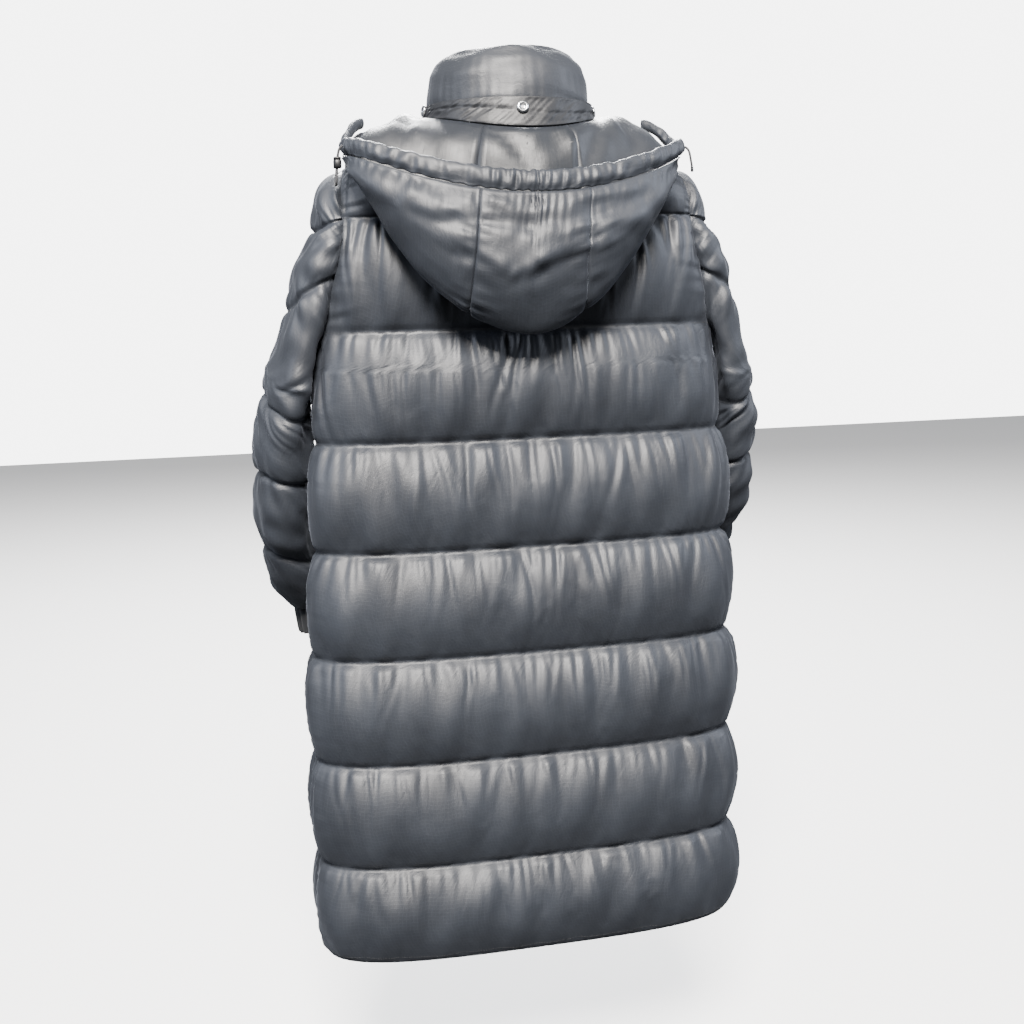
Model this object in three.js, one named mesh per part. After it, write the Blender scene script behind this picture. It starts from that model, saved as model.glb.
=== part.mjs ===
// A long puffer coat, filled out as if worn: quilted body and sleeves, a puffed stand collar,
// and a three-panel hood that hangs open down the back.
// Millimetres, +Z up, the front faces -Y, the wearer's left is +X.
// The origin lies on the middle plane at the level of the neck seam, where the shoulders hold it.
import * as THREE from "three";

// Driving sizes of the coat.
const HEM_Z = -1100; // lower edge
const YOKE_LINE_Z = -122; // uppermost quilting line
const CHANNEL = 141; // height of one quilted channel on the body
const CHANNELS = 7; // channels below the yoke
const UNDERARM_Z = -310;
const SQUARENESS = 3.2; // 2 is an ellipse, more is a fuller rectangle
const BACK_EDGE_TURN = 33; // degrees from the side seam to the armhole, behind
const FRONT_EDGE_TURN = 36; // and in front
const SHOULDER_TIP = { x: 218, y: -4, z: -62 };
const NECK = { halfWidth: 86, midY: -12, backY: 68, frontY: -80, backZ: -8, sideZ: -14, frontZ: -68 };
const SHOULDER_SHARE = 0.3125; // of the width of the back, on each side
const FRONT_SHOULDER_SHARE = 0.625;

// Walls: a quilting line or a seam is thin, the crest of a channel is thick.
const SEAM_WALL = 4.5;
const BACK_CREST = 31;
const FRONT_CREST = 29;
const YOKE_CREST = 22;
const SLEEVE_CREST = 23;
const EDGE_FADE = 24; // the filling thins over about twice this distance to a seam
const SEAM_GAP = 0.35; // between two pieces that are sewn together
const ZIP_HALF_GAP = 8; // from the middle to the edge of each front

// The hollow of the body: half its width and half its depth at each height.
const BODY = [
  { z: -1100, halfWidth: 285, halfDepth: 90 },
  { z: -968, halfWidth: 286, halfDepth: 89 },
  { z: -686, halfWidth: 284, halfDepth: 86 },
  { z: -404, halfWidth: 274, halfDepth: 81 },
  { z: -310, halfWidth: 267, halfDepth: 79 },
  { z: -215, halfWidth: 257, halfDepth: 78 },
  { z: -122, halfWidth: 245, halfDepth: 75 },
];
// The side gives way a little where the sleeve hangs against it.
const ARMPIT = { x: 268, y: -8, z: -305, reach: 92, topZ: -255 };
const SLEEVE_REST = { depth: 22, y: -52, reach: 62, topZ: -318, fullZ: -380, lastZ: -640, endZ: -720 };

// The sleeve's sections, from the shoulder to the cuff: the height of the end at the armhole
// or underarm, that end's place, the place of the outer side, and half the depth.
const SLEEVE = [
  { endZ: -62, endX: 218, endY: -4, outX: 218, outZ: -62, outY: -4, halfDepth: 0 },
  { endZ: -122, endX: 238, endY: 0, outX: 250, outZ: -140, outY: -8, halfDepth: 52 },
  { endZ: -192, endX: 240, endY: 0, outX: 292, outZ: -238, outY: -14, halfDepth: 62 },
  { endZ: -263, endX: 252, endY: 0, outX: 322, outZ: -338, outY: -26, halfDepth: 62 },
  { endZ: -310, endX: 268, endY: 0, outX: 331, outZ: -392, outY: -34, halfDepth: 60 },
  { endZ: -331, endX: 293, endY: -12, outX: 334, outZ: -412, outY: -39, halfDepth: 60 },
  { endZ: -385, endX: 300, endY: -38, outX: 336, outZ: -443, outY: -48, halfDepth: 60 },
  { endZ: -452, endX: 297, endY: -60, outX: 336, outZ: -495, outY: -62, halfDepth: 58 },
  { endZ: -520, endX: 290, endY: -88, outX: 332, outZ: -548, outY: -88, halfDepth: 54 },
  { endZ: -590, endX: 266, endY: -124, outX: 316, outZ: -606, outY: -124, halfDepth: 48 },
  { endZ: -640, endX: 230, endY: -148, outX: 296, outZ: -652, outY: -148, halfDepth: 37 },
];
const SLEEVE_LINES = [-62, -122, -192, -263, -385, -520, -640]; // heights of their inner ends
const SLEEVE_CLEARANCE = 1.5; // between the sleeve and the side that it hangs against
const CONTACT = 3; // how softly the sleeve turns where it meets that side
const SHOULDER_ROUND = 5;

const CUFF = { height: 42, ribs: 20, ribDepth: 2.6, wall: 4, narrowing: 3, inward: 3, forward: 12 };

const COLLAR = { height: 86, halfThickness: 16.5, backLean: 12, frontLean: 3, rise: 10, outset: 3,
  fullness: 2.5, endTaper: 26, thinnest: 0.22 };
const COLLAR_HALF_GAP = 8;

// The satin band that holds the hood, on the foot of the collar; its reach is in degrees.
const BAND = { topZ: 20, reach: 98, wall: 2.6, clear: 1.2, lowerGap: 2.3 };
const SNAP = { radius: 7.5, height: 3, hole: 3, angles: [-84, 3, 84] };

// The hood is drawn through six curves, from its neck edge (at 0) down the coat's back, round
// the lower fold, and up to the drawcord rim (at 1). Each runs from one front corner of the hood
// round behind to the other: turn is in degrees, spread crowds it to the middle, swing is how
// far the hanging bag has swung to the wearer's left.
const HOOD = [
  { at: 0.0, halfWidth: 111, midY: -12, backY: 100, frontY: -118, turn: 104, spread: 1.0,
    backZ: -19, sideZ: 2, frontZ: 4, swing: 0 },
  { at: 0.18, halfWidth: 142, midY: 8, backY: 120, frontY: -84, turn: 112, spread: 1.12,
    backZ: -66, sideZ: 2, frontZ: -3, swing: 3 },
  { at: 0.42, halfWidth: 184, midY: 42, backY: 126, frontY: -70, turn: 118, spread: 1.26,
    backZ: -176, sideZ: -18, frontZ: -18, swing: 10 },
  { at: 0.64, halfWidth: 208, midY: 66, backY: 146, frontY: -54, turn: 120, spread: 1.36,
    backZ: -266, sideZ: -58, frontZ: -23, swing: 18 },
  { at: 0.84, halfWidth: 213, midY: 70, backY: 192, frontY: -50, turn: 122, spread: 1.42,
    backZ: -182, sideZ: -62, frontZ: -20, swing: 18 },
  { at: 1.0, halfWidth: 213, midY: 66, backY: 178, frontY: -52, turn: 122, spread: 1.45,
    backZ: -102, sideZ: -50, frontZ: -12, swing: 10 },
];
const HOOD_CORNER_SWING = 8;
const HOOD_SEAM = 0.27; // share of the half width that the middle panel takes
const HOOD_SHELL = 5;
const HOOD_LINING = 1.6;
const LAYER_GAP = 0.3; // between two cloths that lie on each other
const RIM = { halfHeight: 13, endHalfHeight: 7, halfThickness: 6, gap: 0.5, endGap: 3.4, reach: 0.985 };

// The drawcord comes out of the rim at both corners: on the left as a loop through its toggle,
// on the right as a short end. Places along each, in millimetres.
const DRAWCORD_DIAMETER = 3;
const CORD_LOOP = [
  [227.5, 86.0, -38.6], [230.4, 86.3, -40.4], [232.2, 86.4, -43.2], [233.2, 86.3, -47.0],
  [233.8, 86.0, -52.0], [234.4, 85.9, -58.0], [235.0, 86.0, -63.0], [235.4, 86.6, -66.8],
  [235.8, 87.8, -70.6], [236.2, 88.9, -74.4], [236.6, 89.3, -78.2], [236.9, 88.4, -81.5],
  [237.2, 86.0, -83.8], [237.3, 82.8, -84.7], [237.2, 79.6, -83.8], [236.9, 77.2, -81.5],
  [236.6, 76.3, -78.2], [236.2, 76.7, -74.4], [235.8, 77.8, -70.6], [235.4, 79.0, -66.8],
  [235.0, 79.6, -63.0], [234.4, 79.7, -58.0], [233.8, 79.6, -52.0], [232.6, 79.0, -47.0],
  [231.4, 78.0, -43.2], [229.6, 77.0, -40.2], [228.0, 76.6, -38.4],
];
const CORD_END = [
  [-208.7, 86, -39.5], [-210.3, 86.25, -40.29], [-211.7, 86.61, -41.39], [-212.84, 87.03, -42.77],
  [-213.66, 87.5, -44.36], [-214.12, 88, -46.08], [-214.55, 88.34, -47.7], [-214.85, 88.6, -49.6],
  [-215.15, 88.75, -51.5], [-215.5, 88.85, -53.5], [-215.9, 88.85, -55.5], [-216.3, 88.75, -57.5],
  [-216.75, 88.55, -59.5], [-217.2, 88.25, -61.5], [-217.65, 87.85, -63.5], [-218.05, 87.35, -65.5],
  [-218.4, 86.75, -67.75], [-218.7, 86.1, -70],
];
const TOGGLE = { x: 234.3, y: 82.8, z: -58, width: 9.6, depth: 15.6, length: 13,
  slotWidth: 5.2, slotDepth: 11.8 };
const ZIP = { tapeWall: 1.5, coilHalfWidth: 1.1, coilWall: 2.6, aboveHem: 14, belowCollarTop: 6 };
const SLIDER = { halfWidth: 4.5, length: 13, depth: 3.4, belowTop: 24, bridge: 5.2, bridgeHalfWidth: 0.9,
  bow: 4.2, bar: 1.4, axisForward: 1.6, axisBelow: 2.5 };
const PULL = { halfWidth: 3.5, length: 26, thickness: 1.6, holeHalfWidth: 1.7, holeLength: 9 };

const shellCloth = new THREE.MeshStandardMaterial({ color: 0x4c5058, roughness: 0.42 });
const collarCloth = new THREE.MeshStandardMaterial({ color: 0x565c63, roughness: 0.45 });
const liningCloth = new THREE.MeshStandardMaterial({ color: 0x70757d, roughness: 0.35 });
const bandCloth = new THREE.MeshStandardMaterial({ color: 0x2b2e33, roughness: 0.5 });
const cordCloth = new THREE.MeshStandardMaterial({ color: 0x15161a, roughness: 0.7 });
const togglePlastic = new THREE.MeshStandardMaterial({ color: 0x0e0f11, roughness: 0.4 });
const snapMetal = new THREE.MeshStandardMaterial({ color: 0xd9dadc, roughness: 0.25, metalness: 1 });
const zipMetal = new THREE.MeshStandardMaterial({ color: 0x6d7178, roughness: 0.3, metalness: 1 });

const coat = new THREE.Group();
const radians = THREE.MathUtils.degToRad;
const vector = (x, y, z) => new THREE.Vector3(x, y, z);
const mix = (a, b, share) => a + (b - a) * share;
const eased = (share) => THREE.MathUtils.smoothstep(share, 0, 1);

function add(name, geometry, material) {
  const mesh = new THREE.Mesh(geometry, material);
  mesh.name = name;
  coat.add(mesh);
  return mesh;
}

// A table's row at any value of its key column, on a smooth curve through its rows.
function rowAt(table, key, value) {
  const rising = table[0][key] < table[table.length - 1][key];
  const at = THREE.MathUtils.clamp(
    value, Math.min(table[0][key], table.at(-1)[key]), Math.max(table[0][key], table.at(-1)[key]));
  let i = 0;
  while (i < table.length - 2 && (rising ? at > table[i + 1][key] : at < table[i + 1][key])) i += 1;
  const last = table.length - 1;
  const row = {};
  const span = table[i + 1][key] - table[i][key];
  const t = (at - table[i][key]) / span;
  for (const column of Object.keys(table[0])) {
    if (typeof table[0][column] !== "number") continue;
    const slope = (j) => {
      const a = Math.max(j - 1, 0);
      const b = Math.min(j + 1, last);
      return (table[b][column] - table[a][column]) / (table[b][key] - table[a][key]);
    };
    const h = t * t * (3 - 2 * t);
    const rise = t * (1 - t) * ((1 - t) * slope(i) - t * slope(i + 1)) * span;
    row[column] = mix(table[i][column], table[i + 1][column], h) + rise;
  }
  return row;
}

// Quilting: 0 at a line, 1 at the crest between two lines, fuller below the middle.
const puff = (share) => Math.sin(Math.PI * share ** 1.08) ** 0.62;

// Filling near a seam: 0 at the seam, 1 well away from it.
const fill = (distance) => 1 - Math.exp(-distance / EDGE_FADE);

// In the armpit the body and the sleeve press each other flat.
const unsqueezed = (point) => {
  const far = Math.hypot(Math.abs(point.x) - ARMPIT.x, point.y - ARMPIT.y, point.z - ARMPIT.z);
  return 1 - Math.exp(-((far / ARMPIT.reach) ** 2));
};

function gridOf(rows, columns, place) {
  return rows.map((row, i) => columns.map((column, j) => place(row, column, i, j)));
}

// The unit normals of a grid of points; joined rows close on themselves at their two ends.
function normalsOf(grid, joinedFrom = Infinity) {
  const last = grid[0].length - 1;
  return grid.map((line, i) => line.map((_, j) => {
    const joined = i >= joinedFrom;
    const right = line[j < last ? j + 1 : joined ? 1 : last];
    const left = line[j > 0 ? j - 1 : joined ? last - 1 : 0];
    const above = grid[Math.min(i + 1, grid.length - 1)][j];
    const below = grid[Math.max(i - 1, 0)][j];
    return right.clone().sub(left).cross(above.clone().sub(below)).normalize();
  }));
}

// A wall between two grids of points. Rows from joinedFrom on are rings, so they have no side edges.
function wallGeometry(inner, outer, joinedFrom = Infinity) {
  const rows = inner.length;
  const columns = inner[0].length;
  const points = [...inner.flat(), ...outer.flat()];
  const faces = [];
  const at = (layer, i, j) => {
    const column = i >= joinedFrom && j === columns - 1 ? 0 : j;
    return layer * rows * columns + i * columns + column;
  };
  const quad = (a, b, c, d) => faces.push(a, b, c, a, c, d);
  for (let i = 0; i < rows - 1; i += 1) {
    for (let j = 0; j < columns - 1; j += 1) {
      quad(at(1, i, j), at(1, i, j + 1), at(1, i + 1, j + 1), at(1, i + 1, j));
      quad(at(0, i, j), at(0, i + 1, j), at(0, i + 1, j + 1), at(0, i, j + 1));
    }
    if (i < joinedFrom) {
      const end = columns - 1;
      quad(at(0, i, 0), at(1, i, 0), at(1, i + 1, 0), at(0, i + 1, 0));
      quad(at(0, i, end), at(0, i + 1, end), at(1, i + 1, end), at(1, i, end));
    }
  }
  for (let j = 0; j < columns - 1; j += 1) {
    quad(at(0, 0, j), at(0, 0, j + 1), at(1, 0, j + 1), at(1, 0, j));
    const top = rows - 1;
    quad(at(0, top, j), at(1, top, j), at(1, top, j + 1), at(0, top, j + 1));
  }
  return closedGeometry(points, faces);
}

// A solid from rings of points, closed at both ends by a fan round each end's middle.
function ringsGeometry(rings) {
  const count = rings[0].length;
  const points = rings.flat();
  const faces = [];
  for (let i = 0; i < rings.length - 1; i += 1) {
    for (let j = 0; j < count; j += 1) {
      const next = (j + 1) % count;
      faces.push(i * count + j, i * count + next, (i + 1) * count + next);
      faces.push(i * count + j, (i + 1) * count + next, (i + 1) * count + j);
    }
  }
  for (const [ring, start, turned] of [[rings[0], 0, true],
    [rings.at(-1), (rings.length - 1) * count, false]]) {
    const middle = ring.reduce((sum, p) => sum.add(p), vector(0, 0, 0)).divideScalar(count);
    points.push(middle);
    for (let j = 0; j < count; j += 1) {
      const a = start + j;
      const b = start + ((j + 1) % count);
      faces.push(...(turned ? [points.length - 1, b, a] : [points.length - 1, a, b]));
    }
  }
  return closedGeometry(points, faces);
}

// Faces are turned outwards by the sign of the volume that they enclose.
function closedGeometry(points, faces) {
  let volume = 0;
  for (let k = 0; k < faces.length; k += 3) {
    const [a, b, c] = [points[faces[k]], points[faces[k + 1]], points[faces[k + 2]]];
    volume += a.dot(b.clone().cross(c));
  }
  const index = [];
  for (let k = 0; k < faces.length; k += 3) {
    index.push(faces[k], faces[k + (volume > 0 ? 1 : 2)], faces[k + (volume > 0 ? 2 : 1)]);
  }
  const geometry = new THREE.BufferGeometry().setFromPoints(points).setIndex(index);
  geometry.computeVertexNormals();
  return geometry;
}

// Body: back and fronts

// A point of the hollow at a height, at an angle from the wearer's left side towards the back.
function bodyPoint(z, angle) {
  const { halfWidth, halfDepth } = rowAt(BODY, "z", z);
  const c = Math.cos(angle);
  const s = Math.sin(angle);
  const reach = (Math.abs(c) ** SQUARENESS + Math.abs(s) ** SQUARENESS) ** (-1 / SQUARENESS);
  const y = halfDepth * reach * s;
  return vector((halfWidth - sleeveDent(y, z) * Math.abs(reach * c) ** 3) * reach * c, y, z);
}

// How far the side gives way to the sleeve.
function sleeveDent(y, z) {
  const along = eased((SLEEVE_REST.topZ - z) / (SLEEVE_REST.topZ - SLEEVE_REST.fullZ))
    * eased((z - SLEEVE_REST.endZ) / (SLEEVE_REST.lastZ - SLEEVE_REST.endZ));
  return SLEEVE_REST.depth * along * Math.exp(-(((y - SLEEVE_REST.y) / SLEEVE_REST.reach) ** 2));
}

// How far out the quilted side reaches at a depth and a height; 0 in front of and behind the body.
function bodySide(y, z) {
  const { halfWidth, halfDepth } = rowAt(BODY, "z", z);
  const wall = SEAM_WALL + (BACK_CREST - SEAM_WALL) * fill(Math.abs(y))
    * unsqueezed(vector(halfWidth, y, z));
  const share = Math.abs(y) / (halfDepth + wall);
  if (share >= 1) return 0;
  return (halfWidth + wall) * (1 - share ** SQUARENESS) ** (1 / SQUARENESS) - sleeveDent(y, z);
}

// The armhole's edge: how far round from the side seam it lies at a height.
function armholeAngle(z, turn) {
  const share = THREE.MathUtils.clamp((z - UNDERARM_Z) / (YOKE_LINE_Z - UNDERARM_Z), 0, 1);
  return radians(turn) * Math.sqrt(1 - (1 - share) ** 2);
}

// The neckline, by the angle from the middle of the back.
function neckPoint(angle) {
  const s = Math.sin(angle);
  const c = Math.cos(angle);
  const y = NECK.midY + (c > 0 ? NECK.backY - NECK.midY : NECK.midY - NECK.frontY) * c;
  const z = mix(NECK.sideZ, c > 0 ? NECK.backZ : NECK.frontZ, c * c);
  return vector(NECK.halfWidth * s, y, z);
}

// The upper edge of a panel: the shoulder seam, then the neckline. share runs from the armhole
// inwards; side is +1 for the wearer's left.
function upperEdge(share, shoulderShare, side, behind) {
  const shoulderNeck = neckPoint(side * Math.PI / 2);
  if (share < shoulderShare) {
    const tip = vector(side * SHOULDER_TIP.x, SHOULDER_TIP.y, SHOULDER_TIP.z);
    return tip.lerp(shoulderNeck, share / shoulderShare);
  }
  const along = (share - shoulderShare) / ((behind ? 0.5 : 1) - shoulderShare);
  const frontStop = Math.PI - Math.asin(ZIP_HALF_GAP / NECK.halfWidth);
  return neckPoint(side * mix(Math.PI / 2, behind ? 0 : frontStop, along));
}

// The panels' rows from the hem up: z and share, the place between two quilting lines;
// above the yoke line, lift runs from 0 to 1 at the shoulder seam.
function bodyRows() {
  const rows = [];
  for (let k = CHANNELS - 1; k >= 0; k -= 1) {
    const low = k === CHANNELS - 1 ? HEM_Z : YOKE_LINE_Z - CHANNEL * (k + 1);
    const high = YOKE_LINE_Z - CHANNEL * k;
    const shares = { 0: [0, 0.14, 0.32, 0.5, 0.68, 0.86], 1: [0, 0.14, 0.4, 0.667, 0.78, 0.89] };
    for (const share of shares[k] ?? [0, 0.14, 0.5, 0.86]) {
      rows.push({ z: mix(low, high, share), share, lift: 0, crest: 1 });
    }
  }
  for (const lift of [0, 0.25, 0.5, 0.75, 1]) {
    rows.push({ z: YOKE_LINE_Z, share: Math.sqrt(lift), lift, crest: 0 });
  }
  return rows;
}
const ROWS = bodyRows();
const UNDERARM_ROW = ROWS.findIndex((row) => row.z > UNDERARM_Z - 1);
const CAP_ROW = ROWS.findIndex((row) => row.lift > 0);

// A point of a panel: across runs from the panel's first edge to its last.
function panelPoint(row, across, panel) {
  const first = armholeAngle(row.z, panel.turn);
  let angle;
  let upper;
  if (panel.behind) {
    angle = mix(first, Math.PI - first, across);
    const left = across <= 0.5;
    upper = () => upperEdge(left ? across : 1 - across, SHOULDER_SHARE, left ? 1 : -1, true);
  } else {
    const front = -Math.PI / 2;
    angle = mix(-first, front, across);
    upper = () => upperEdge(across, FRONT_SHOULDER_SHARE, 1, false);
  }
  const point = bodyPoint(row.z, angle);
  if (!panel.behind && across === 1) point.x = ZIP_HALF_GAP;
  if (row.lift === 0) return point;
  const top = upper();
  const turn = row.lift * Math.PI / 2;
  return vector(
    mix(point.x, top.x, eased(row.lift)),
    top.y + (point.y - top.y) * Math.cos(turn),
    point.z + (top.z - point.z) * Math.sin(turn));
}

// Lengths from each point of a row to the row's two ends.
function edgeDistances(line) {
  const sums = [0];
  for (let j = 1; j < line.length; j += 1) sums.push(sums[j - 1] + line[j].distanceTo(line[j - 1]));
  return sums.map((sum) => ({ first: sum, last: sums.at(-1) - sum }));
}

function makePanel(panel) {
  const steps = panel.steps;
  const columns = Array.from({ length: steps + 1 }, (_, j) => j / steps);
  const inner = gridOf(ROWS, columns, (row, across) => panelPoint(row, across, panel));
  const normals = normalsOf(inner);
  if (!panel.behind) normals.forEach((line) => line.forEach((n) => n.negate()));
  // Along the side and shoulder seams both panels' walls stand the same way.
  ROWS.forEach((row, i) => {
    for (const j of panel.behind ? [0, steps] : [0]) {
      if (i <= UNDERARM_ROW) normals[i][j].set(j ? -1 : 1, 0, 0);
      else if (row.lift === 1) normals[i][j].set(j ? -0.3 : 0.3, 0, 1).normalize();
    }
    if (row.lift === 1) normals[i].forEach((n) => n.setY(0).normalize());
    if (!panel.behind) normals[i][steps].setX(0).normalize();
  });
  const outer = inner.map((line, i) => {
    const distances = edgeDistances(line);
    return line.map((point, j) => {
      const row = ROWS[i];
      const { first, last } = distances[j];
      const crest = row.crest ? panel.crest : YOKE_CREST;
      const near = fill(first) * (panel.behind ? fill(last) : fill(last + 6));
      const height = SEAM_WALL + (crest - SEAM_WALL) * puff(row.share) * near * unsqueezed(point);
      return point.clone().addScaledVector(normals[i][j], height);
    });
  });
  // Each sewn edge keeps half the seam gap.
  const sets = [inner, outer];
  for (const grid of sets) {
    grid.forEach((line, i) => {
      const toFront = panel.behind ? SEAM_GAP / 2 : -SEAM_GAP / 2;
      if (i <= UNDERARM_ROW) {
        line[0].y += toFront;
        if (panel.behind) line[steps].y += toFront;
      }
      if (ROWS[i].lift === 1) {
        line.forEach((point, j) => {
          if (Math.abs(point.y - SHOULDER_TIP.y) < 12 && Math.abs(point.x) > 80) point.y += toFront;
        });
      }
    });
  }
  return { inner, outer, normals };
}

const mirrored = (grid) => grid.map((line) => line.map((p) => vector(-p.x, p.y, p.z)));

const back = makePanel({ behind: true, turn: BACK_EDGE_TURN, crest: BACK_CREST, steps: 16 });
const front = makePanel({ behind: false, turn: FRONT_EDGE_TURN, crest: FRONT_CREST, steps: 8 });
add("back", wallGeometry(back.inner, back.outer), shellCloth);

// Each front is one panel in two solids, above and below its middle quilting line.
const MIDDLE_ROW = ROWS.findIndex((row) => row.z > YOKE_LINE_Z - 3 * CHANNEL - 1);
function halfOf(grid, upper) {
  const rows = upper ? grid.slice(MIDDLE_ROW) : grid.slice(0, MIDDLE_ROW + 1);
  return rows.map((line, i) => line.map((point) => {
    const cut = upper ? i === 0 : i === rows.length - 1;
    return cut ? point.clone().setZ(point.z + (upper ? 0.5 : -0.5) * SEAM_GAP) : point.clone();
  }));
}
for (const [part, upper] of [["upper", true], ["lower", false]]) {
  const inner = halfOf(front.inner, upper);
  const outer = halfOf(front.outer, upper);
  add("front_left_" + part, wallGeometry(inner, outer), shellCloth);
  add("front_right_" + part, wallGeometry(mirrored(inner), mirrored(outer)), shellCloth);
}

// Sleeves

// The armhole's edge over the shoulder, from the front's lowest yoke row to the back's.
function armholeLoop(steps) {
  const top = ROWS.length - 1;
  const corners = [];
  for (let i = CAP_ROW; i < top; i += 1) corners.push([front, i]);
  corners.push([back, top]);
  for (let i = top - 1; i >= CAP_ROW; i -= 1) corners.push([back, i]);
  const places = corners.map(([panel, i]) => {
    const point = panel.inner[i][0].clone();
    const outward = point.clone().sub(panel.inner[i][1]).normalize();
    if (i === top) {
      point.setY(SHOULDER_TIP.y);
      outward.setY(0).normalize();
    }
    return { point: point.addScaledVector(outward, SEAM_GAP), wall: panel.normals[i][0] };
  });
  return Array.from({ length: steps + 1 }, (_, j) => {
    const along = (j / steps) * (places.length - 1);
    const k = Math.min(Math.floor(along), places.length - 2);
    return {
      point: places[k].point.clone().lerp(places[k + 1].point, along - k),
      wall: places[k].wall.clone().lerp(places[k + 1].wall, along - k),
    };
  });
}

// The rows of the sleeve's cap: the first lies on the armhole's edge over the shoulder, the next
// end between the panels' two lowest yoke rows, and from there down to the underarm they end on
// the panels' edge points; below it the rows are rings that close at the underarm seam.
function sleeveRows() {
  const rows = [];
  for (const cap of [0, 0.3, 0.68]) rows.push({ endZ: mix(SHOULDER_TIP.z, YOKE_LINE_Z, cap), cap });
  for (let i = CAP_ROW - 1; i >= UNDERARM_ROW; i -= 1) {
    const behind = back.inner[i][0];
    const before = front.inner[i][0];
    const outward = behind.clone().sub(back.inner[i][1]).normalize()
      .add(before.clone().sub(front.inner[i][1]).normalize()).normalize();
    if (i === UNDERARM_ROW) outward.set(0.2, 0, 1).normalize();
    rows.push({ endZ: (behind.z + before.z) / 2, behind, before, outward,
      wallBehind: back.normals[i][0], wallBefore: front.normals[i][0] });
  }
  const lower = [-319, -331, -350, -385, -404, -452, -501, -520, -538, -580, -612, -628, -640];
  for (const endZ of lower) rows.push({ endZ });
  return rows;
}

// The share of the way between the two nearest quilting lines of the sleeve.
function sleeveShare(endZ) {
  let k = 0;
  while (k < SLEEVE_LINES.length - 2 && endZ < SLEEVE_LINES[k + 1]) k += 1;
  return THREE.MathUtils.clamp((endZ - SLEEVE_LINES[k]) / (SLEEVE_LINES[k + 1] - SLEEVE_LINES[k]), 0, 1);
}

// An open section of the sleeve, between the two edge points of a row.
function sleeveArc(row, across, section) {
  const out = vector(section.outX, section.outY, section.outZ);
  const behind = row.behind.clone().addScaledVector(row.outward, SEAM_GAP);
  const before = row.before.clone().addScaledVector(row.outward, SEAM_GAP);
  const middle = behind.clone().add(before).multiplyScalar(0.5);
  const half = behind.clone().sub(before).multiplyScalar(0.5);
  const sine = Math.min(half.length() / section.halfDepth, 1);
  const stop = Math.PI - Math.asin(sine);
  half.divideScalar(sine);
  const centre = middle.clone().addScaledVector(out, -Math.cos(stop))
    .divideScalar(1 - Math.cos(stop));
  const angle = across * stop;
  return centre.clone().addScaledVector(out.clone().sub(centre), Math.cos(angle))
    .addScaledVector(half, Math.sin(angle));
}

// A closed section, from the underarm seam round the front, the outer side and the back.
function sleeveRing(row, across, section) {
  const out = vector(section.outX, section.outY, section.outZ);
  const end = row.behind
    ? row.behind.clone().setY(0).addScaledVector(row.outward, SEAM_GAP)
    : vector(section.endX, section.endY, row.endZ);
  const centre = out.clone().add(end).multiplyScalar(0.5);
  const angle = across * Math.PI;
  return centre.clone().addScaledVector(out.clone().sub(centre), Math.cos(angle))
    .add(vector(0, section.halfDepth * Math.sin(angle), 0));
}

// Below the armhole's edge the sleeve lies beside the body's quilting.
function besideBody(point, wall) {
  const near = eased((ARMPIT.topZ - point.z) / (ARMPIT.topZ - UNDERARM_Z));
  const spare = point.x - bodySide(point.y, point.z) - wall;
  const kept = CONTACT * Math.log(1 + Math.exp(spare / CONTACT));
  if (near > 0 && spare < 8 * CONTACT) point.x += near * (kept - spare);
  return point;
}

// The middle of the sleeve's last ring, where the cuff joins.
function cuffMiddle() {
  const { outX, outY, outZ, endX, endZ } = SLEEVE.at(-1);
  return vector((outX + endX) / 2, outY, (outZ + endZ) / 2);
}

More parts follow.
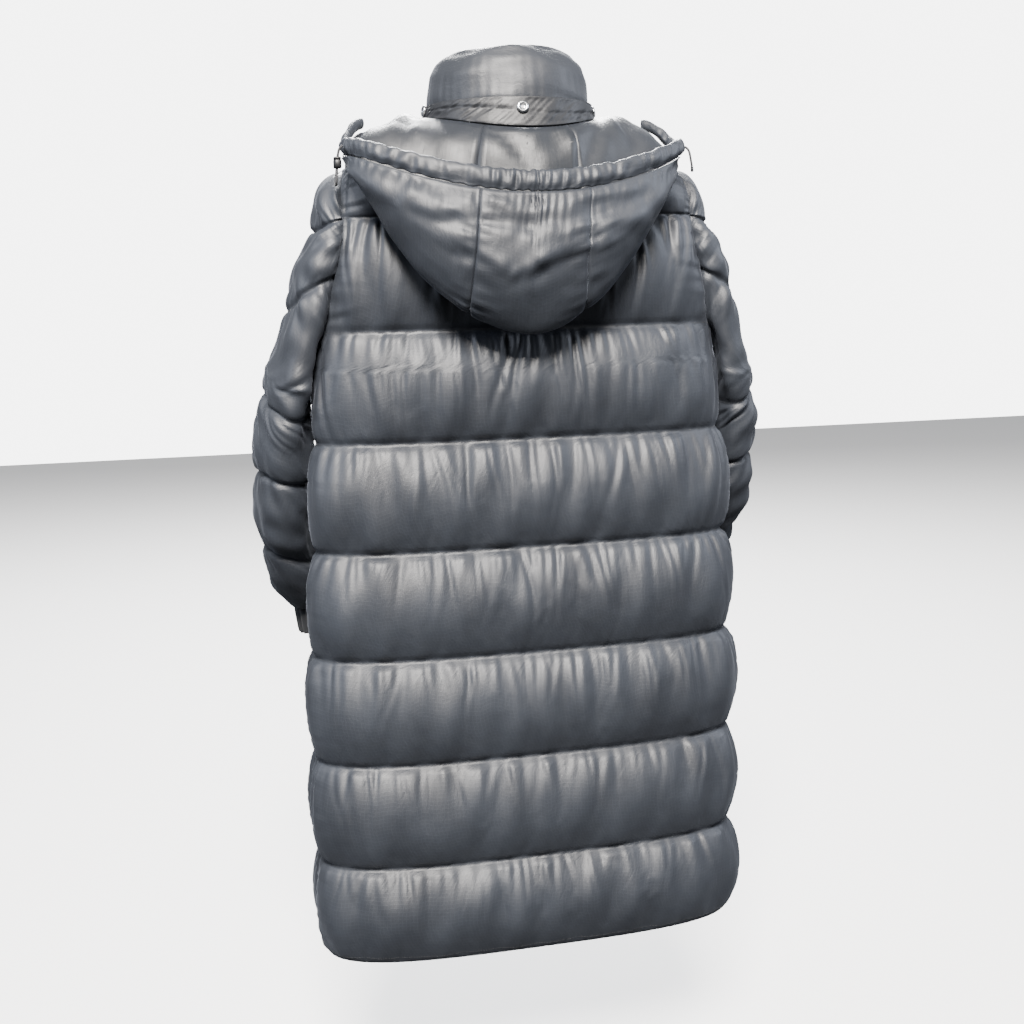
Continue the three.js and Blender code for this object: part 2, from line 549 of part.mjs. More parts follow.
function makeSleeve(steps) {
  const rows = sleeveRows();
  const joinedFrom = rows.findIndex((row) => row.endZ < UNDERARM_Z + 1);
  const firstArc = rows.findIndex((row) => row.behind);
  const columns = Array.from({ length: steps + 1 }, (_, j) => (2 * j) / steps - 1);
  const loop = armholeLoop(steps);
  const inner = gridOf(rows, columns, (row, across, i, j) => {
    const section = rowAt(SLEEVE, "endZ", row.endZ);
    if (i < firstArc) {
      const below = sleeveArc(rows[firstArc], across, rowAt(SLEEVE, "endZ", rows[firstArc].endZ));
      const round = SHOULDER_ROUND * Math.sin(Math.PI * row.cap) * Math.cos(across * Math.PI / 2);
      return loop[j].point.clone().lerp(below, row.cap).add(vector(round, 0, round / 2));
    }
    return i < joinedFrom ? sleeveArc(row, across, section) : sleeveRing(row, across, section);
  });
  const sewn = (i, j) => i === 0 || (i <= joinedFrom && (j === 0 || j === steps));
  inner.forEach((line, i) => line.forEach((point, j) => {
    if (!sewn(i, j)) besideBody(point, SEAM_WALL + SLEEVE_CLEARANCE);
  }));
  const normals = normalsOf(inner, joinedFrom);
  const outer = inner.map((line, i) => line.map((point, j) => {
    const row = rows[i];
    const distances = edgeDistances(line)[j];
    const normal = normals[i][j].clone().negate();
    if (i === rows.length - 1) normal.copy(point).sub(cuffMiddle()).normalize();
    else if (i === 0) normal.copy(loop[j].wall);
    else if (i < firstArc && (j === 0 || j === steps)) {
      normal.copy(loop[j].wall).lerp(j ? rows[firstArc].wallBehind : rows[firstArc].wallBefore, row.cap);
    } else if (i <= joinedFrom && j === 0) normal.copy(row.wallBefore);
    else if (i <= joinedFrom && j === steps) normal.copy(row.wallBehind);
    const near = i < joinedFrom ? fill(distances.first) * fill(distances.last)
      : mix(fill(Math.min(distances.first, distances.last)), 0.75,
        THREE.MathUtils.clamp((i - joinedFrom) / 4, 0, 1));
    const height = SEAM_WALL + (SLEEVE_CREST - SEAM_WALL) * puff(sleeveShare(row.endZ)) * near
      * mix(1, unsqueezed(point), i < joinedFrom ? 1 : Math.abs(columns[j]));
    const raised = point.clone().addScaledVector(normal, height);
    return sewn(i, j) ? raised : besideBody(raised, SLEEVE_CLEARANCE);
  }));
  return { inner, outer, joinedFrom, endZs: rows.map((row) => row.endZ) };
}

const sleeve = makeSleeve(18);

// Each sleeve is one piece in two solids, above and below the quilting line at the elbow.
const elbowRow = sleeve.endZs.indexOf(SLEEVE_LINES[4]);
const middleOf = (line) => line.reduce((sum, p) => sum.add(p), vector(0, 0, 0)).divideScalar(line.length);
const elbowAxis = middleOf(sleeve.inner[elbowRow + 1]).sub(middleOf(sleeve.inner[elbowRow - 1])).normalize();
function sleeveHalf(grid, upper) {
  const rows = upper ? grid.slice(0, elbowRow + 1) : grid.slice(elbowRow);
  return rows.map((line, i) => line.map((point) => {
    const cut = upper ? i === rows.length - 1 : i === 0;
    return point.clone().addScaledVector(elbowAxis, cut ? (upper ? -0.5 : 0.5) * SEAM_GAP : 0);
  }));
}
for (const [part, upper] of [["upper", true], ["lower", false]]) {
  const inner = sleeveHalf(sleeve.inner, upper);
  const outer = sleeveHalf(sleeve.outer, upper);
  const joinedFrom = upper ? sleeve.joinedFrom : 0;
  add("sleeve_left_" + part, wallGeometry(inner, outer, joinedFrom), shellCloth);
  add("sleeve_right_" + part, wallGeometry(mirrored(inner), mirrored(outer), joinedFrom), shellCloth);
}

// Cuffs: each continues the sleeve's last ring as a ribbed band.
function makeCuff() {
  const columns = Array.from({ length: CUFF.ribs * 3 + 1 }, (_, j) => (2 * j) / (CUFF.ribs * 3) - 1);
  const end = SLEEVE.at(-1);
  const middle = cuffMiddle();
  const toOut = vector(end.outX, end.outY, end.outZ).sub(middle);
  const ring = (share, across, spread) => {
    const angle = across * Math.PI;
    const shrink = spread - CUFF.narrowing * share;
    return middle.clone()
      .add(vector(-CUFF.inward * share, -CUFF.forward * share, -SEAM_GAP - CUFF.height * share))
      .addScaledVector(toOut, (1 + shrink / toOut.length()) * Math.cos(angle))
      .add(vector(0, (end.halfDepth + shrink) * Math.sin(angle), 0));
  };
  const rows = [0, 0.2, 1];
  const inner = gridOf(rows, columns, (share, across) => ring(share, across, 0));
  const outer = gridOf(rows, columns, (share, across, i, j) => {
    const rib = j % 3 === 0 ? 1 : 0;
    const deep = i ? 1 : 0.4;
    return ring(share, across, CUFF.wall + CUFF.ribDepth * rib * deep);
  });
  return { inner, outer };
}
const cuff = makeCuff();
add("cuff_left", wallGeometry(cuff.inner, cuff.outer, 0), bandCloth);
add("cuff_right", wallGeometry(mirrored(cuff.inner), mirrored(cuff.outer), 0), bandCloth);

// Collar: a full oval ring that stands on the neckline, open at the centre front.
const rounded = (value, fullness) => Math.sign(value) * Math.abs(value) ** (2 / fullness);

// The neckline's outward direction, and how far the collar leans in there.
function neckFrame(angle) {
  const base = neckPoint(angle);
  const beside = neckPoint(angle + 0.01);
  const outward = vector(base.y - beside.y, beside.x - base.x, 0).normalize();
  const lean = mix(COLLAR.frontLean, COLLAR.backLean, (1 + Math.cos(angle)) / 2);
  return { base, outward, lean };
}

function collarRing(angle, stop) {
  const { base, outward, lean } = neckFrame(angle);
  const near = THREE.MathUtils.clamp(((stop - Math.abs(angle)) * NECK.halfWidth) / COLLAR.endTaper, 0, 1);
  const thickness = COLLAR.halfThickness
    * mix(COLLAR.thinnest, 1, Math.sqrt(1 - (1 - near) ** 2));
  return Array.from({ length: 14 }, (_, k) => {
    const turn = (k / 14) * 2 * Math.PI;
    const across = thickness * rounded(Math.cos(turn), COLLAR.fullness);
    const up = (COLLAR.height / 2) * rounded(Math.sin(turn), COLLAR.fullness) * mix(0.9, 1, near);
    return base.clone()
      .addScaledVector(outward, COLLAR.outset + across - (lean * up) / COLLAR.height)
      .add(vector(0, 0, COLLAR.rise + COLLAR.height / 2 + up));
  });
}

function collarRings() {
  const stop = Math.PI - Math.asin(COLLAR_HALF_GAP / NECK.halfWidth);
  const half = [12, 24, 36, 48, 60, 72, 84, 96, 108, 120, 132, 144, 155, 162, 167, 171].map(radians);
  const angles = [...half, stop];
  return [...angles.toReversed().map((angle) => -angle), 0, ...angles]
    .map((angle) => collarRing(angle, stop));
}
const collar = collarRings();
add("collar", ringsGeometry(collar), collarCloth);

// Hood

// A point of the hood's middle surface: u runs from -1 on the wearer's right to 1 on the left,
// v from the neck edge to the rim.
function hoodPoint(u, v) {
  const curve = rowAt(HOOD, "at", v);
  const turn = radians(curve.turn) * Math.abs(u) ** curve.spread;
  const c = Math.cos(turn);
  const s = Math.sin(turn);
  const quarter = Math.PI / 2;
  const swing = mix(curve.swing, HOOD_CORNER_SWING * eased(2 * v), u * u);
  const x = Math.sign(u) * curve.halfWidth * s + swing;
  const y = curve.midY + (turn < quarter ? curve.backY - curve.midY : curve.midY - curve.frontY) * c;
  const z = turn < quarter
    ? mix(curve.backZ, curve.sideZ, s * s)
    : mix(curve.sideZ, curve.frontZ, eased((turn - quarter) / (radians(curve.turn) - quarter)));
  return vector(x, y, z);
}

// The directions of the hood's surface at a point: along, up towards the rim, and into the bag.
function hoodFrame(u, v) {
  const step = 0.004;
  const low = Math.max(v - step, 0);
  const high = Math.min(v + step, 1);
  const along = hoodPoint(Math.min(u + step, 1), v).sub(hoodPoint(Math.max(u - step, -1), v)).normalize();
  const up = hoodPoint(u, high).sub(hoodPoint(u, low)).normalize();
  const into = along.clone().cross(up).normalize();
  return { along, up, into };
}

function hoodPanel(first, last, steps, near, far) {
  const columns = Array.from({ length: steps + 1 }, (_, j) => mix(first, last, j / steps));
  const rows = [0, 0.08, 0.18, 0.3, 0.42, 0.53, 0.59, 0.64, 0.69, 0.76, 0.84, 0.92, 1];
  return [near, far].map((depth) => gridOf(rows, columns, (v, u, i, j) => {
    const frame = hoodFrame(u, v);
    const gap = j === 0 ? SEAM_GAP / 2 : j === steps ? -SEAM_GAP / 2 : 0;
    return hoodPoint(u, v).addScaledVector(frame.along, gap).addScaledVector(frame.into, depth);
  }));
}

const PANELS = [
  { side: "right", first: -1, last: -HOOD_SEAM, steps: 9 },
  { side: "centre", first: -HOOD_SEAM, last: HOOD_SEAM, steps: 6 },
  { side: "left", first: HOOD_SEAM, last: 1, steps: 9 },
];
for (const { side, first, last, steps } of PANELS) {
  const shell = hoodPanel(first, last, steps, -HOOD_SHELL, 0);
  const lining = hoodPanel(first, last, steps, LAYER_GAP, LAYER_GAP + HOOD_LINING);
  add("hood_" + side, wallGeometry(shell[0], shell[1]), shellCloth);
  add("hood_lining_" + side, wallGeometry(lining[0], lining[1]), liningCloth);
}

// The rim: the gathered tunnel of the drawcord, along the hood's upper edge.
function rimRing(u) {
  const frame = hoodFrame(u, 1);
  const up = frame.up.lerp(vector(0, 0, 1), Math.abs(u)).normalize();
  const into = frame.along.clone().cross(up).normalize();
  const halfHeight = mix(RIM.halfHeight, RIM.endHalfHeight, Math.abs(u) ** 3);
  const middle = hoodPoint(u, 1)
    .addScaledVector(up, mix(RIM.gap, RIM.endGap, u * u) + halfHeight)
    .addScaledVector(into, (LAYER_GAP + HOOD_LINING - HOOD_SHELL) / 2);
  return Array.from({ length: 8 }, (_, k) => {
    const turn = (k / 8) * 2 * Math.PI;
    return middle.clone()
      .addScaledVector(into, RIM.halfThickness * Math.cos(turn))
      .addScaledVector(up, halfHeight * Math.sin(turn));
  });
}
const rim = Array.from({ length: 29 }, (_, j) => rimRing(RIM.reach * (j / 14 - 1)));
add("hood_rim", ringsGeometry(rim), shellCloth);

// The satin band between the collar and the hood's neck edge, and its three ring snaps.
function bandPoint(angle, height) {
  const { base, outward, lean } = neckFrame(angle);
  const reach = COLLAR.outset + COLLAR.halfThickness + lean / 4 + BAND.clear;
  const top = base.addScaledVector(outward, reach).setZ(BAND.topZ);
  const lower = hoodPoint(angle / radians(HOOD[0].turn), 0).add(vector(0, 0, BAND.lowerGap));
  return lower.lerp(top, height);
}

function bandFrame(angle, height) {
  const along = bandPoint(angle + 0.01, height).sub(bandPoint(angle - 0.01, height)).normalize();
  const up = bandPoint(angle, 1).sub(bandPoint(angle, 0)).normalize();
  return { along, up, outward: up.clone().cross(along).normalize() };
}

function makeBand() {
  const columns = Array.from({ length: 29 }, (_, j) => radians(BAND.reach) * (j / 14 - 1));
  const place = (depth) => gridOf([0, 0.5, 1], columns, (height, angle) =>
    bandPoint(angle, height).addScaledVector(bandFrame(angle, height).outward, depth));
  return wallGeometry(place(0), place(BAND.wall));
}
add("hood_band", makeBand(), bandCloth);

function makeSnap(angle) {
  const profile = [[0, 0], [SNAP.radius, 0], [SNAP.radius, 0.6 * SNAP.height],
    [SNAP.radius - 1.2, SNAP.height], [SNAP.hole + 1, SNAP.height], [SNAP.hole, 0.4 * SNAP.height],
    [0, 0.4 * SNAP.height]];
  const geometry = new THREE.LatheGeometry(profile.map(([r, h]) => new THREE.Vector2(r, h)), 16);
  const { along, up, outward } = bandFrame(angle, 0.62);
  const place = bandPoint(angle, 0.62).addScaledVector(outward, BAND.wall + 2 * LAYER_GAP);
  const turn = new THREE.Matrix4().makeBasis(along, outward, along.clone().cross(outward));
  return geometry.applyMatrix4(turn).translate(place.x, place.y, place.z);
}
SNAP.angles.forEach((angle, i) => {
  add("snap_" + ["right", "centre", "left"][i], makeSnap(radians(angle)), snapMetal);
});

// Zip: two tapes in the gap between the fronts, the closed coil between them, and the slider
// with its bridge and pull tab near the collar's top.
const collarMiddleZ = NECK.frontZ + COLLAR.rise + COLLAR.height / 2;
const collarTopZ = collarMiddleZ + 0.45 * COLLAR.height;

// How far forward the zip lies at a height: in the fronts' edges, then in the collar.
function zipY(z) {
  if (z > NECK.frontZ + COLLAR.rise) {
    return NECK.frontY - COLLAR.outset + (COLLAR.frontLean * (z - collarMiddleZ)) / COLLAR.height;
  }
  const edge = front.inner.map((line) => line.at(-1));
  const k = THREE.MathUtils.clamp(edge.findIndex((point) => point.z > z), 1, edge.length - 1);
  const share = THREE.MathUtils.clamp((z - edge[k - 1].z) / (edge[k].z - edge[k - 1].z), 0, 1);
  return mix(edge[k - 1].y, edge[k].y, share) - SEAM_WALL / 2;
}

function zipStrip(fromX, toX, topZ, wall) {
  const heights = front.inner.map((line) => line.at(-1).z)
    .filter((z, i) => i % 2 === 0 && z > HEM_Z + ZIP.aboveHem + 1 && z < NECK.frontZ + COLLAR.rise - 1);
  const upper = [NECK.frontZ + COLLAR.rise + 1, collarMiddleZ, topZ].filter((z) => z <= topZ);
  const rows = [HEM_Z + ZIP.aboveHem, ...heights, ...upper];
  const place = (depth) => gridOf(rows, [fromX, toX], (z, x) => vector(x, zipY(z) + depth, z));
  return wallGeometry(place(wall / 2), place(-wall / 2));
}
const sliderZ = collarTopZ - SLIDER.belowTop;
const tapeInnerX = ZIP.coilHalfWidth + LAYER_GAP;
const tapeOuterX = ZIP_HALF_GAP - LAYER_GAP;
add("zip_tape_left",
  zipStrip(tapeInnerX, tapeOuterX, collarTopZ - ZIP.belowCollarTop, ZIP.tapeWall), bandCloth);
add("zip_tape_right",
  zipStrip(-tapeOuterX, -tapeInnerX, collarTopZ - ZIP.belowCollarTop, ZIP.tapeWall), bandCloth);
add("zip_coil",
  zipStrip(-ZIP.coilHalfWidth, ZIP.coilHalfWidth, sliderZ + SLIDER.length / 2, ZIP.coilWall), zipMetal);

// An outline of (across, up) pairs, made as thick as depth along Y, from a plane backwards.
function plate(outline, hole, depth, y) {
  const shape = new THREE.Shape(outline.map(([x, z]) => new THREE.Vector2(x, z)));
  if (hole) shape.holes.push(new THREE.Path(hole.map(([x, z]) => new THREE.Vector2(x, z))));
  return new THREE.ExtrudeGeometry(shape, { depth, bevelEnabled: false })
    .rotateX(Math.PI / 2).translate(0, y + depth, 0);
}
const box = (x0, z0, x1, z1) => [[x0, z0], [x1, z0], [x1, z1], [x0, z1]];

const sliderBack = zipY(sliderZ) - ZIP.coilWall / 2 - 2 * LAYER_GAP;
const sliderFront = sliderBack - SLIDER.depth;
const low = sliderZ - SLIDER.length / 2;
const high = sliderZ + SLIDER.length / 2;
const narrow = 0.55 * SLIDER.halfWidth;
add("zip_slider", plate([[-narrow, low], [narrow, low], [SLIDER.halfWidth, sliderZ],
  [SLIDER.halfWidth, high - 2], [narrow, high], [-narrow, high], [-SLIDER.halfWidth, high - 2],
  [-SLIDER.halfWidth, sliderZ]], null, SLIDER.depth, sliderFront), zipMetal);

// The bridge is a bow over the slider, and the pull tab's eye hangs in it.
function makeBridge() {
  const { bridge, bridgeHalfWidth, bow, bar } = SLIDER;
  const outline = [[LAYER_GAP, -bridge], [bow, -bridge], [bow, bridge], [LAYER_GAP, bridge],
    [LAYER_GAP, bridge - bar], [bow - bar, bridge - bar], [bow - bar, bar - bridge],
    [LAYER_GAP, bar - bridge]];
  const shape = new THREE.Shape(outline.map(([forward, up]) => new THREE.Vector2(forward, up)));
  return new THREE.ExtrudeGeometry(shape, { depth: 2 * bridgeHalfWidth, bevelEnabled: false })
    .translate(0, 0, -bridgeHalfWidth)
    .applyMatrix4(new THREE.Matrix4().makeBasis(vector(0, -1, 0), vector(0, 0, 1), vector(-1, 0, 0)))
    .translate(0, sliderFront, sliderZ);
}
add("zip_slider_bridge", makeBridge(), zipMetal);

// The pull tab turns about the bar above its eye.
const hinge = { y: sliderFront - SLIDER.axisForward, z: sliderZ - SLIDER.axisBelow };
const halfTab = PULL.thickness / 2;
const tabEnd = hinge.z + halfTab - PULL.length;
add("zip_pull_tab", plate([[-PULL.halfWidth, tabEnd + 2], [-PULL.halfWidth + 2, tabEnd],
  [PULL.halfWidth - 2, tabEnd], [PULL.halfWidth, tabEnd + 2], [PULL.halfWidth, hinge.z + halfTab],
  [-PULL.halfWidth, hinge.z + halfTab]],
box(-PULL.holeHalfWidth, hinge.z - halfTab - PULL.holeLength, PULL.holeHalfWidth, hinge.z - halfTab),
PULL.thickness, hinge.y - halfTab), zipMetal);

// Drawcord and its toggle
function cordGeometry(places, spans) {
  const path = new THREE.CatmullRomCurve3(places.map(([x, y, z]) => vector(x, y, z)), false, "centripetal");
  const section = new THREE.Shape(Array.from({ length: 8 }, (_, k) => {
    const turn = (k / 8) * 2 * Math.PI;
    return new THREE.Vector2(Math.cos(turn), Math.sin(turn)).multiplyScalar(DRAWCORD_DIAMETER / 2);
  }));
  return new THREE.ExtrudeGeometry(section, { steps: spans, extrudePath: path, bevelEnabled: false });
}
add("drawcord_loop", cordGeometry(CORD_LOOP, 28), cordCloth);
add("drawcord_end", cordGeometry(CORD_END, 10), cordCloth);

function makeToggle() {
  const { width, depth, length, slotWidth, slotDepth } = TOGGLE;
  const oblong = (w, d) => Array.from({ length: 16 }, (_, k) => {
    const turn = (k / 16) * 2 * Math.PI;
    return new THREE.Vector2((w / 2) * rounded(Math.cos(turn), 3.4), (d / 2) * rounded(Math.sin(turn), 3.4));
  });
  const shape = new THREE.Shape(oblong(width, depth));
  shape.holes.push(new THREE.Path(oblong(slotWidth, slotDepth)));
  return new THREE.ExtrudeGeometry(shape, { depth: length, bevelEnabled: false })
    .translate(TOGGLE.x, TOGGLE.y, TOGGLE.z - length / 2);
}
add("drawcord_toggle", makeToggle(), togglePlastic);

export default coat;
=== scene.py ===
import math

import bpy
import numpy as np
from mathutils import Matrix, Vector


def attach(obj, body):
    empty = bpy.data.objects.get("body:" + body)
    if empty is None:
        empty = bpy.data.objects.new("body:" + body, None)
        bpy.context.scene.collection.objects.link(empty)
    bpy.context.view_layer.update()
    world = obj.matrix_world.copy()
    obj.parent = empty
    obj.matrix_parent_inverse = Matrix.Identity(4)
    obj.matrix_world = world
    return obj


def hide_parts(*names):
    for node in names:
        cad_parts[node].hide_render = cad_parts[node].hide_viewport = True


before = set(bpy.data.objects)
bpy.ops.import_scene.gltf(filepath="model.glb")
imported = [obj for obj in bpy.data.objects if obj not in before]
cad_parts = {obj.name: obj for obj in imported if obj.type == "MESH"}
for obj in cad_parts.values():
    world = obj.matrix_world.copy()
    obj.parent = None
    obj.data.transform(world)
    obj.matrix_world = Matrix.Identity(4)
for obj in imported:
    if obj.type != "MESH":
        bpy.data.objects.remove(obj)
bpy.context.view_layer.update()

scene = bpy.context.scene


# Camera
# It stands behind the wearer's left shoulder, a little above the middle of the coat, where the
# photograph's equally spaced quilting lines put it.
def placed(name, data):
    """A new object in the scene, at the origin."""
    piece = bpy.data.objects.new(name, data)
    scene.collection.objects.link(piece)
    return piece


FOCAL_PIXELS, PICTURE_PIXELS, SENSOR = 1305, 1024, 36
back_turn = math.radians(180 - 12.75)
back_tilt = math.atan(212 / FOCAL_PIXELS)
roll = -0.0251
towards = Vector((math.sin(back_turn) * math.cos(back_tilt),
                  -math.cos(back_turn) * math.cos(back_tilt), math.sin(back_tilt)))
level = Vector((math.cos(back_turn), math.sin(back_turn), 0))
upright = towards.cross(level)
right = level * math.cos(roll) + upright * math.sin(roll)
up = upright * math.cos(roll) - level * math.sin(roll)
camera = placed("camera", bpy.data.cameras.new("camera"))
camera.matrix_world = Matrix.Translation((0.3975, 1.7125, -0.227)) @ Matrix(
    (right, up, towards)).transposed().to_4x4()
camera.data.lens = FOCAL_PIXELS * SENSOR / PICTURE_PIXELS
camera.data.clip_end = 50
scene.camera = camera


# Drawcord
# Round braided polyester cord, 3 mm thick. On the wearer's left it leaves the hood's rim as a loop
# that hangs through its toggle; on the right a short end hangs out with a crimped metal tip.
CORD = 3
CORD_LOOP = [
    (227.5, 86.0, -38.6), (230.4, 86.3, -40.4), (232.2, 86.4, -43.2), (233.2, 86.3, -47.0),
    (233.8, 86.0, -52.0), (234.4, 85.9, -58.0), (235.0, 86.0, -63.0), (235.4, 86.6, -66.8),
    (235.8, 87.8, -70.6), (236.2, 88.9, -74.4), (236.6, 89.3, -78.2), (236.9, 88.4, -81.5),
    (237.2, 86.0, -83.8), (237.3, 82.8, -84.7), (237.2, 79.6, -83.8), (236.9, 77.2, -81.5),
    (236.6, 76.3, -78.2), (236.2, 76.7, -74.4), (235.8, 77.8, -70.6), (235.4, 79.0, -66.8),
    (235.0, 79.6, -63.0), (234.4, 79.7, -58.0), (233.8, 79.6, -52.0), (232.6, 79.0, -47.0),
    (231.4, 78.0, -43.2), (229.6, 77.0, -40.2), (228.0, 76.6, -38.4)]
CORD_END = [
    (-208.7, 86, -39.5), (-210.3, 86.25, -40.29), (-211.7, 86.61, -41.39), (-212.84, 87.03, -42.77),
    (-213.66, 87.5, -44.36), (-214.12, 88, -46.08), (-214.55, 88.34, -47.7), (-214.85, 88.6, -49.6),
    (-215.15, 88.75, -51.5), (-215.5, 88.85, -53.5), (-215.9, 88.85, -55.5), (-216.3, 88.75, -57.5),
    (-216.75, 88.55, -59.5), (-217.2, 88.25, -61.5), (-217.65, 87.85, -63.5), (-218.05, 87.35, -65.5),
    (-218.4, 86.75, -67.75), (-218.7, 86.1, -70)]


def colour(code):
    """The linear colour of an sRGB hex code such as "8090a0"."""
    parts = [int(code[i:i + 2], 16) / 255 for i in (0, 2, 4)]
    return [p / 12.92 if p <= 0.04045 else ((p + 0.055) / 1.055) ** 2.4 for p in parts] + [1.0]


def add_node(tree, kind, settings=(), links=()):
    """Adds a node: settings are its properties or input values, links feed its inputs."""
    node = tree.nodes.new("ShaderNode" + kind)
    for key, value in dict(settings).items():
        if isinstance(key, int) or key in node.inputs:
            node.inputs[key].default_value = value
        else:
            setattr(node, key, value)
    for key, source in dict(links).items():
        tree.links.new(source, node.inputs[key])
    return node


def new_material(name, settings):
    """A material with a Principled shader whose own sockets hold these settings."""
    made = bpy.data.materials.new(name)
    made.use_nodes = True
    shader = made.node_tree.nodes["Principled BSDF"]
    for key, value in settings.items():
        shader.inputs[key].default_value = value
    return made, made.node_tree, shader


def shades(tree, source, low, high, first=0.0, last=1.0):
    """A colour ramp between two sRGB codes."""
    ramp = add_node(tree, "ValToRGB", links={"Fac": source})
    ends = ramp.color_ramp.elements
    ends[0].position, ends[1].position = first, last
    ends[0].color, ends[1].color = colour(low), colour(high)
    return ramp.outputs["Color"]


def braid_material():
    """Braided polyester: two sets of strands that cross round the cord."""
    made, tree, shader = new_material("braided_cord", {"Roughness": 0.62, "Sheen Weight": 0.25})
    place = add_node(tree, "TexCoord").outputs["Object"]
    waves = []
    for turn in (0.9, -0.9):
        turned = add_node(tree, "Mapping", {"Rotation": (turn, 0.0, 0.0)}, {"Vector": place})
        waves.append(add_node(tree, "TexWave", {"bands_direction": "Z", "Scale": 420.0, "Distortion": 0.0},
                              {"Vector": turned.outputs[0]}).outputs["Fac"])
    both = add_node(tree, "Math", {"operation": "MAXIMUM"}, {0: waves[0], 1: waves[1]})
    tree.links.new(shades(tree, both.outputs[0], "0c0d10", "2c2e33", 0.3, 1.0),
                   shader.inputs["Base Color"])
    bump = add_node(tree, "Bump", {"Strength": 0.6, "Distance": 0.0004}, {"Height": both.outputs[0]})
    tree.links.new(bump.outputs[0], shader.inputs["Normal"])
    return made


def cord_curve(name, places):
    """A round cord along a smooth curve through its listed points."""
    curve = bpy.data.curves.new(name, "CURVE")
    curve.dimensions = "3D"
    curve.bevel_depth = CORD / 2000
    curve.bevel_resolution = 5
    curve.use_fill_caps = True
    spline = curve.splines.new("NURBS")
    spline.points.add(len(places) - 1)
    for point, (x, y, z) in zip(spline.points, places):
        point.co = (x / 1000, y / 1000, z / 1000, 1)
    spline.order_u = 3
    spline.use_endpoint_u = True
    spline.resolution_u = 6
    return placed(name, curve)


def finish_piece(piece, slot, made, *nodes):
    """Gives a piece its material and body, and lets it stand for CAD nodes; slot is not used."""
    if made:
        piece.data.materials.append(made)
    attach(piece, "coat")
    if nodes:
        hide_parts(*nodes)
    return piece


def solid(name, points, faces, smooth=None):
    """A mesh from places in millimetres; smooth says which faces are, all of them if left out."""
    mesh = bpy.data.meshes.new(name)
    mesh.from_pydata((points.reshape(-1, 3) / 1000).tolist(), [], faces)
    mesh.polygons.foreach_set("use_smooth", np.ones(len(faces), bool) if smooth is None else smooth)
    return placed(name, mesh)


def quads(grid):
    """The four corners of each cell of a grid, in order round the cell."""
    corners = np.stack([grid[:-1, :-1], grid[:-1, 1:], grid[1:, 1:], grid[1:, :-1]], 2)
    return corners.reshape(-1, 4, *grid.shape[2:])


def revolved(name, profile, middle, across, outward, count=32):
    """A closed solid turned about the outward direction: each (radius, height) pair gives a circle,
    middle + outward * height + radius * (across * cos + beside * sin)."""
    outward = np.array(Vector(outward).normalized())
    beside = np.array(Vector(outward).cross(Vector(across)).normalized())
    across = np.cross(beside, outward)
    radius, height = np.array(profile).T[..., None, None]
    turn = (2 * np.pi * np.arange(count) / count)[:, None]
    points = np.array(middle) + outward * height + radius * (across * np.cos(turn) + beside * np.sin(turn))
    index = np.arange(len(profile) * count).reshape(-1, count)
    sides = quads(np.pad(index, ((0, 0), (0, 1)), "wrap")).tolist()
    ends = [index[0, ::-1].tolist(), index[-1].tolist()]
    return solid(name, points, sides + ends, [True] * len(sides) + [False] * 2)


def metal_material(name, low, high, roughness):
    """Plated zinc: small smooth dents and fine polishing marks in the plating."""
    made, tree, shader = new_material(name, {"Metallic": 1.0})
    place = add_node(tree, "TexCoord").outputs["Object"]
    cloud = add_node(tree, "TexNoise", {"Scale": 260.0, "Detail": 3.0}, {"Vector": place}).outputs["Fac"]
    marks = add_node(tree, "TexNoise", {"Scale": 2400.0, "Detail": 2.0}, {"Vector": place}).outputs["Fac"]
    tree.links.new(shades(tree, cloud, low, high, 0.3, 0.7), shader.inputs["Base Color"])
    rough = add_node(tree, "MapRange", {"To Min": roughness * 0.7, "To Max": roughness * 1.3},
                     {"Value": marks})
    tree.links.new(rough.outputs[0], shader.inputs["Roughness"])
    bump = add_node(tree, "Bump", {"Strength": 0.15, "Distance": 0.0001}, {"Height": marks})
    tree.links.new(bump.outputs[0], shader.inputs["Normal"])
    return made


bright_metal = metal_material("plated_snap_metal", "c4c6c9", "e2e4e6", 0.22)
braid = braid_material()
loop = finish_piece(cord_curve("drawcord_loop_braid", CORD_LOOP), "cord", braid, "drawcord_loop")
end = finish_piece(cord_curve("drawcord_end_braid", CORD_END), "cord", braid, "drawcord_end")
end_way = Vector(CORD_END[-1]) - Vector(CORD_END[-2])
finish_piece(revolved("drawcord_tip", [(1.2, -7), (1.75, -6.6), (1.8, -5), (1.55, -4.4), (1.8, -3.8),
                                       (1.85, -0.6), (1.5, 0.3), (0.8, 0.5)],
                      CORD_END[-1], (0, 1, 0), end_way, 20), "snap_metal", bright_metal)


# Studio
# A pale floor under the hanging hem that throws no light up, a surround that is pale above and dark
# below, and soft light from above the camera.
def area_light(name, place, aim, size, watts, tint):
    light = bpy.data.lights.new(name, "AREA")
    light.size = size
    light.energy = watts
    light.color = colour(tint)[:3]
    lamp = placed(name, light)
    lamp.location = place
    lamp.rotation_euler = (Vector(aim) - Vector(place)).to_track_quat("-Z", "Y").to_euler()


area_light("key", (1.0, 4.0, 3.3), (0, 0.1, -0.6), 1.7, 1550, "fff9f2")
area_light("side_left", (2.6, 0.6, 1.0), (0, 0, -0.5), 1.2, 40, "e6eeff")
area_light("side_right", (-2.6, 0.4, 1.0), (0, 0, -0.5), 1.2, 40, "e6eeff")
area_light("front", (-0.6, -3.6, 3.0), (0, -0.1, -0.6), 1.6, 900, "ffffff")

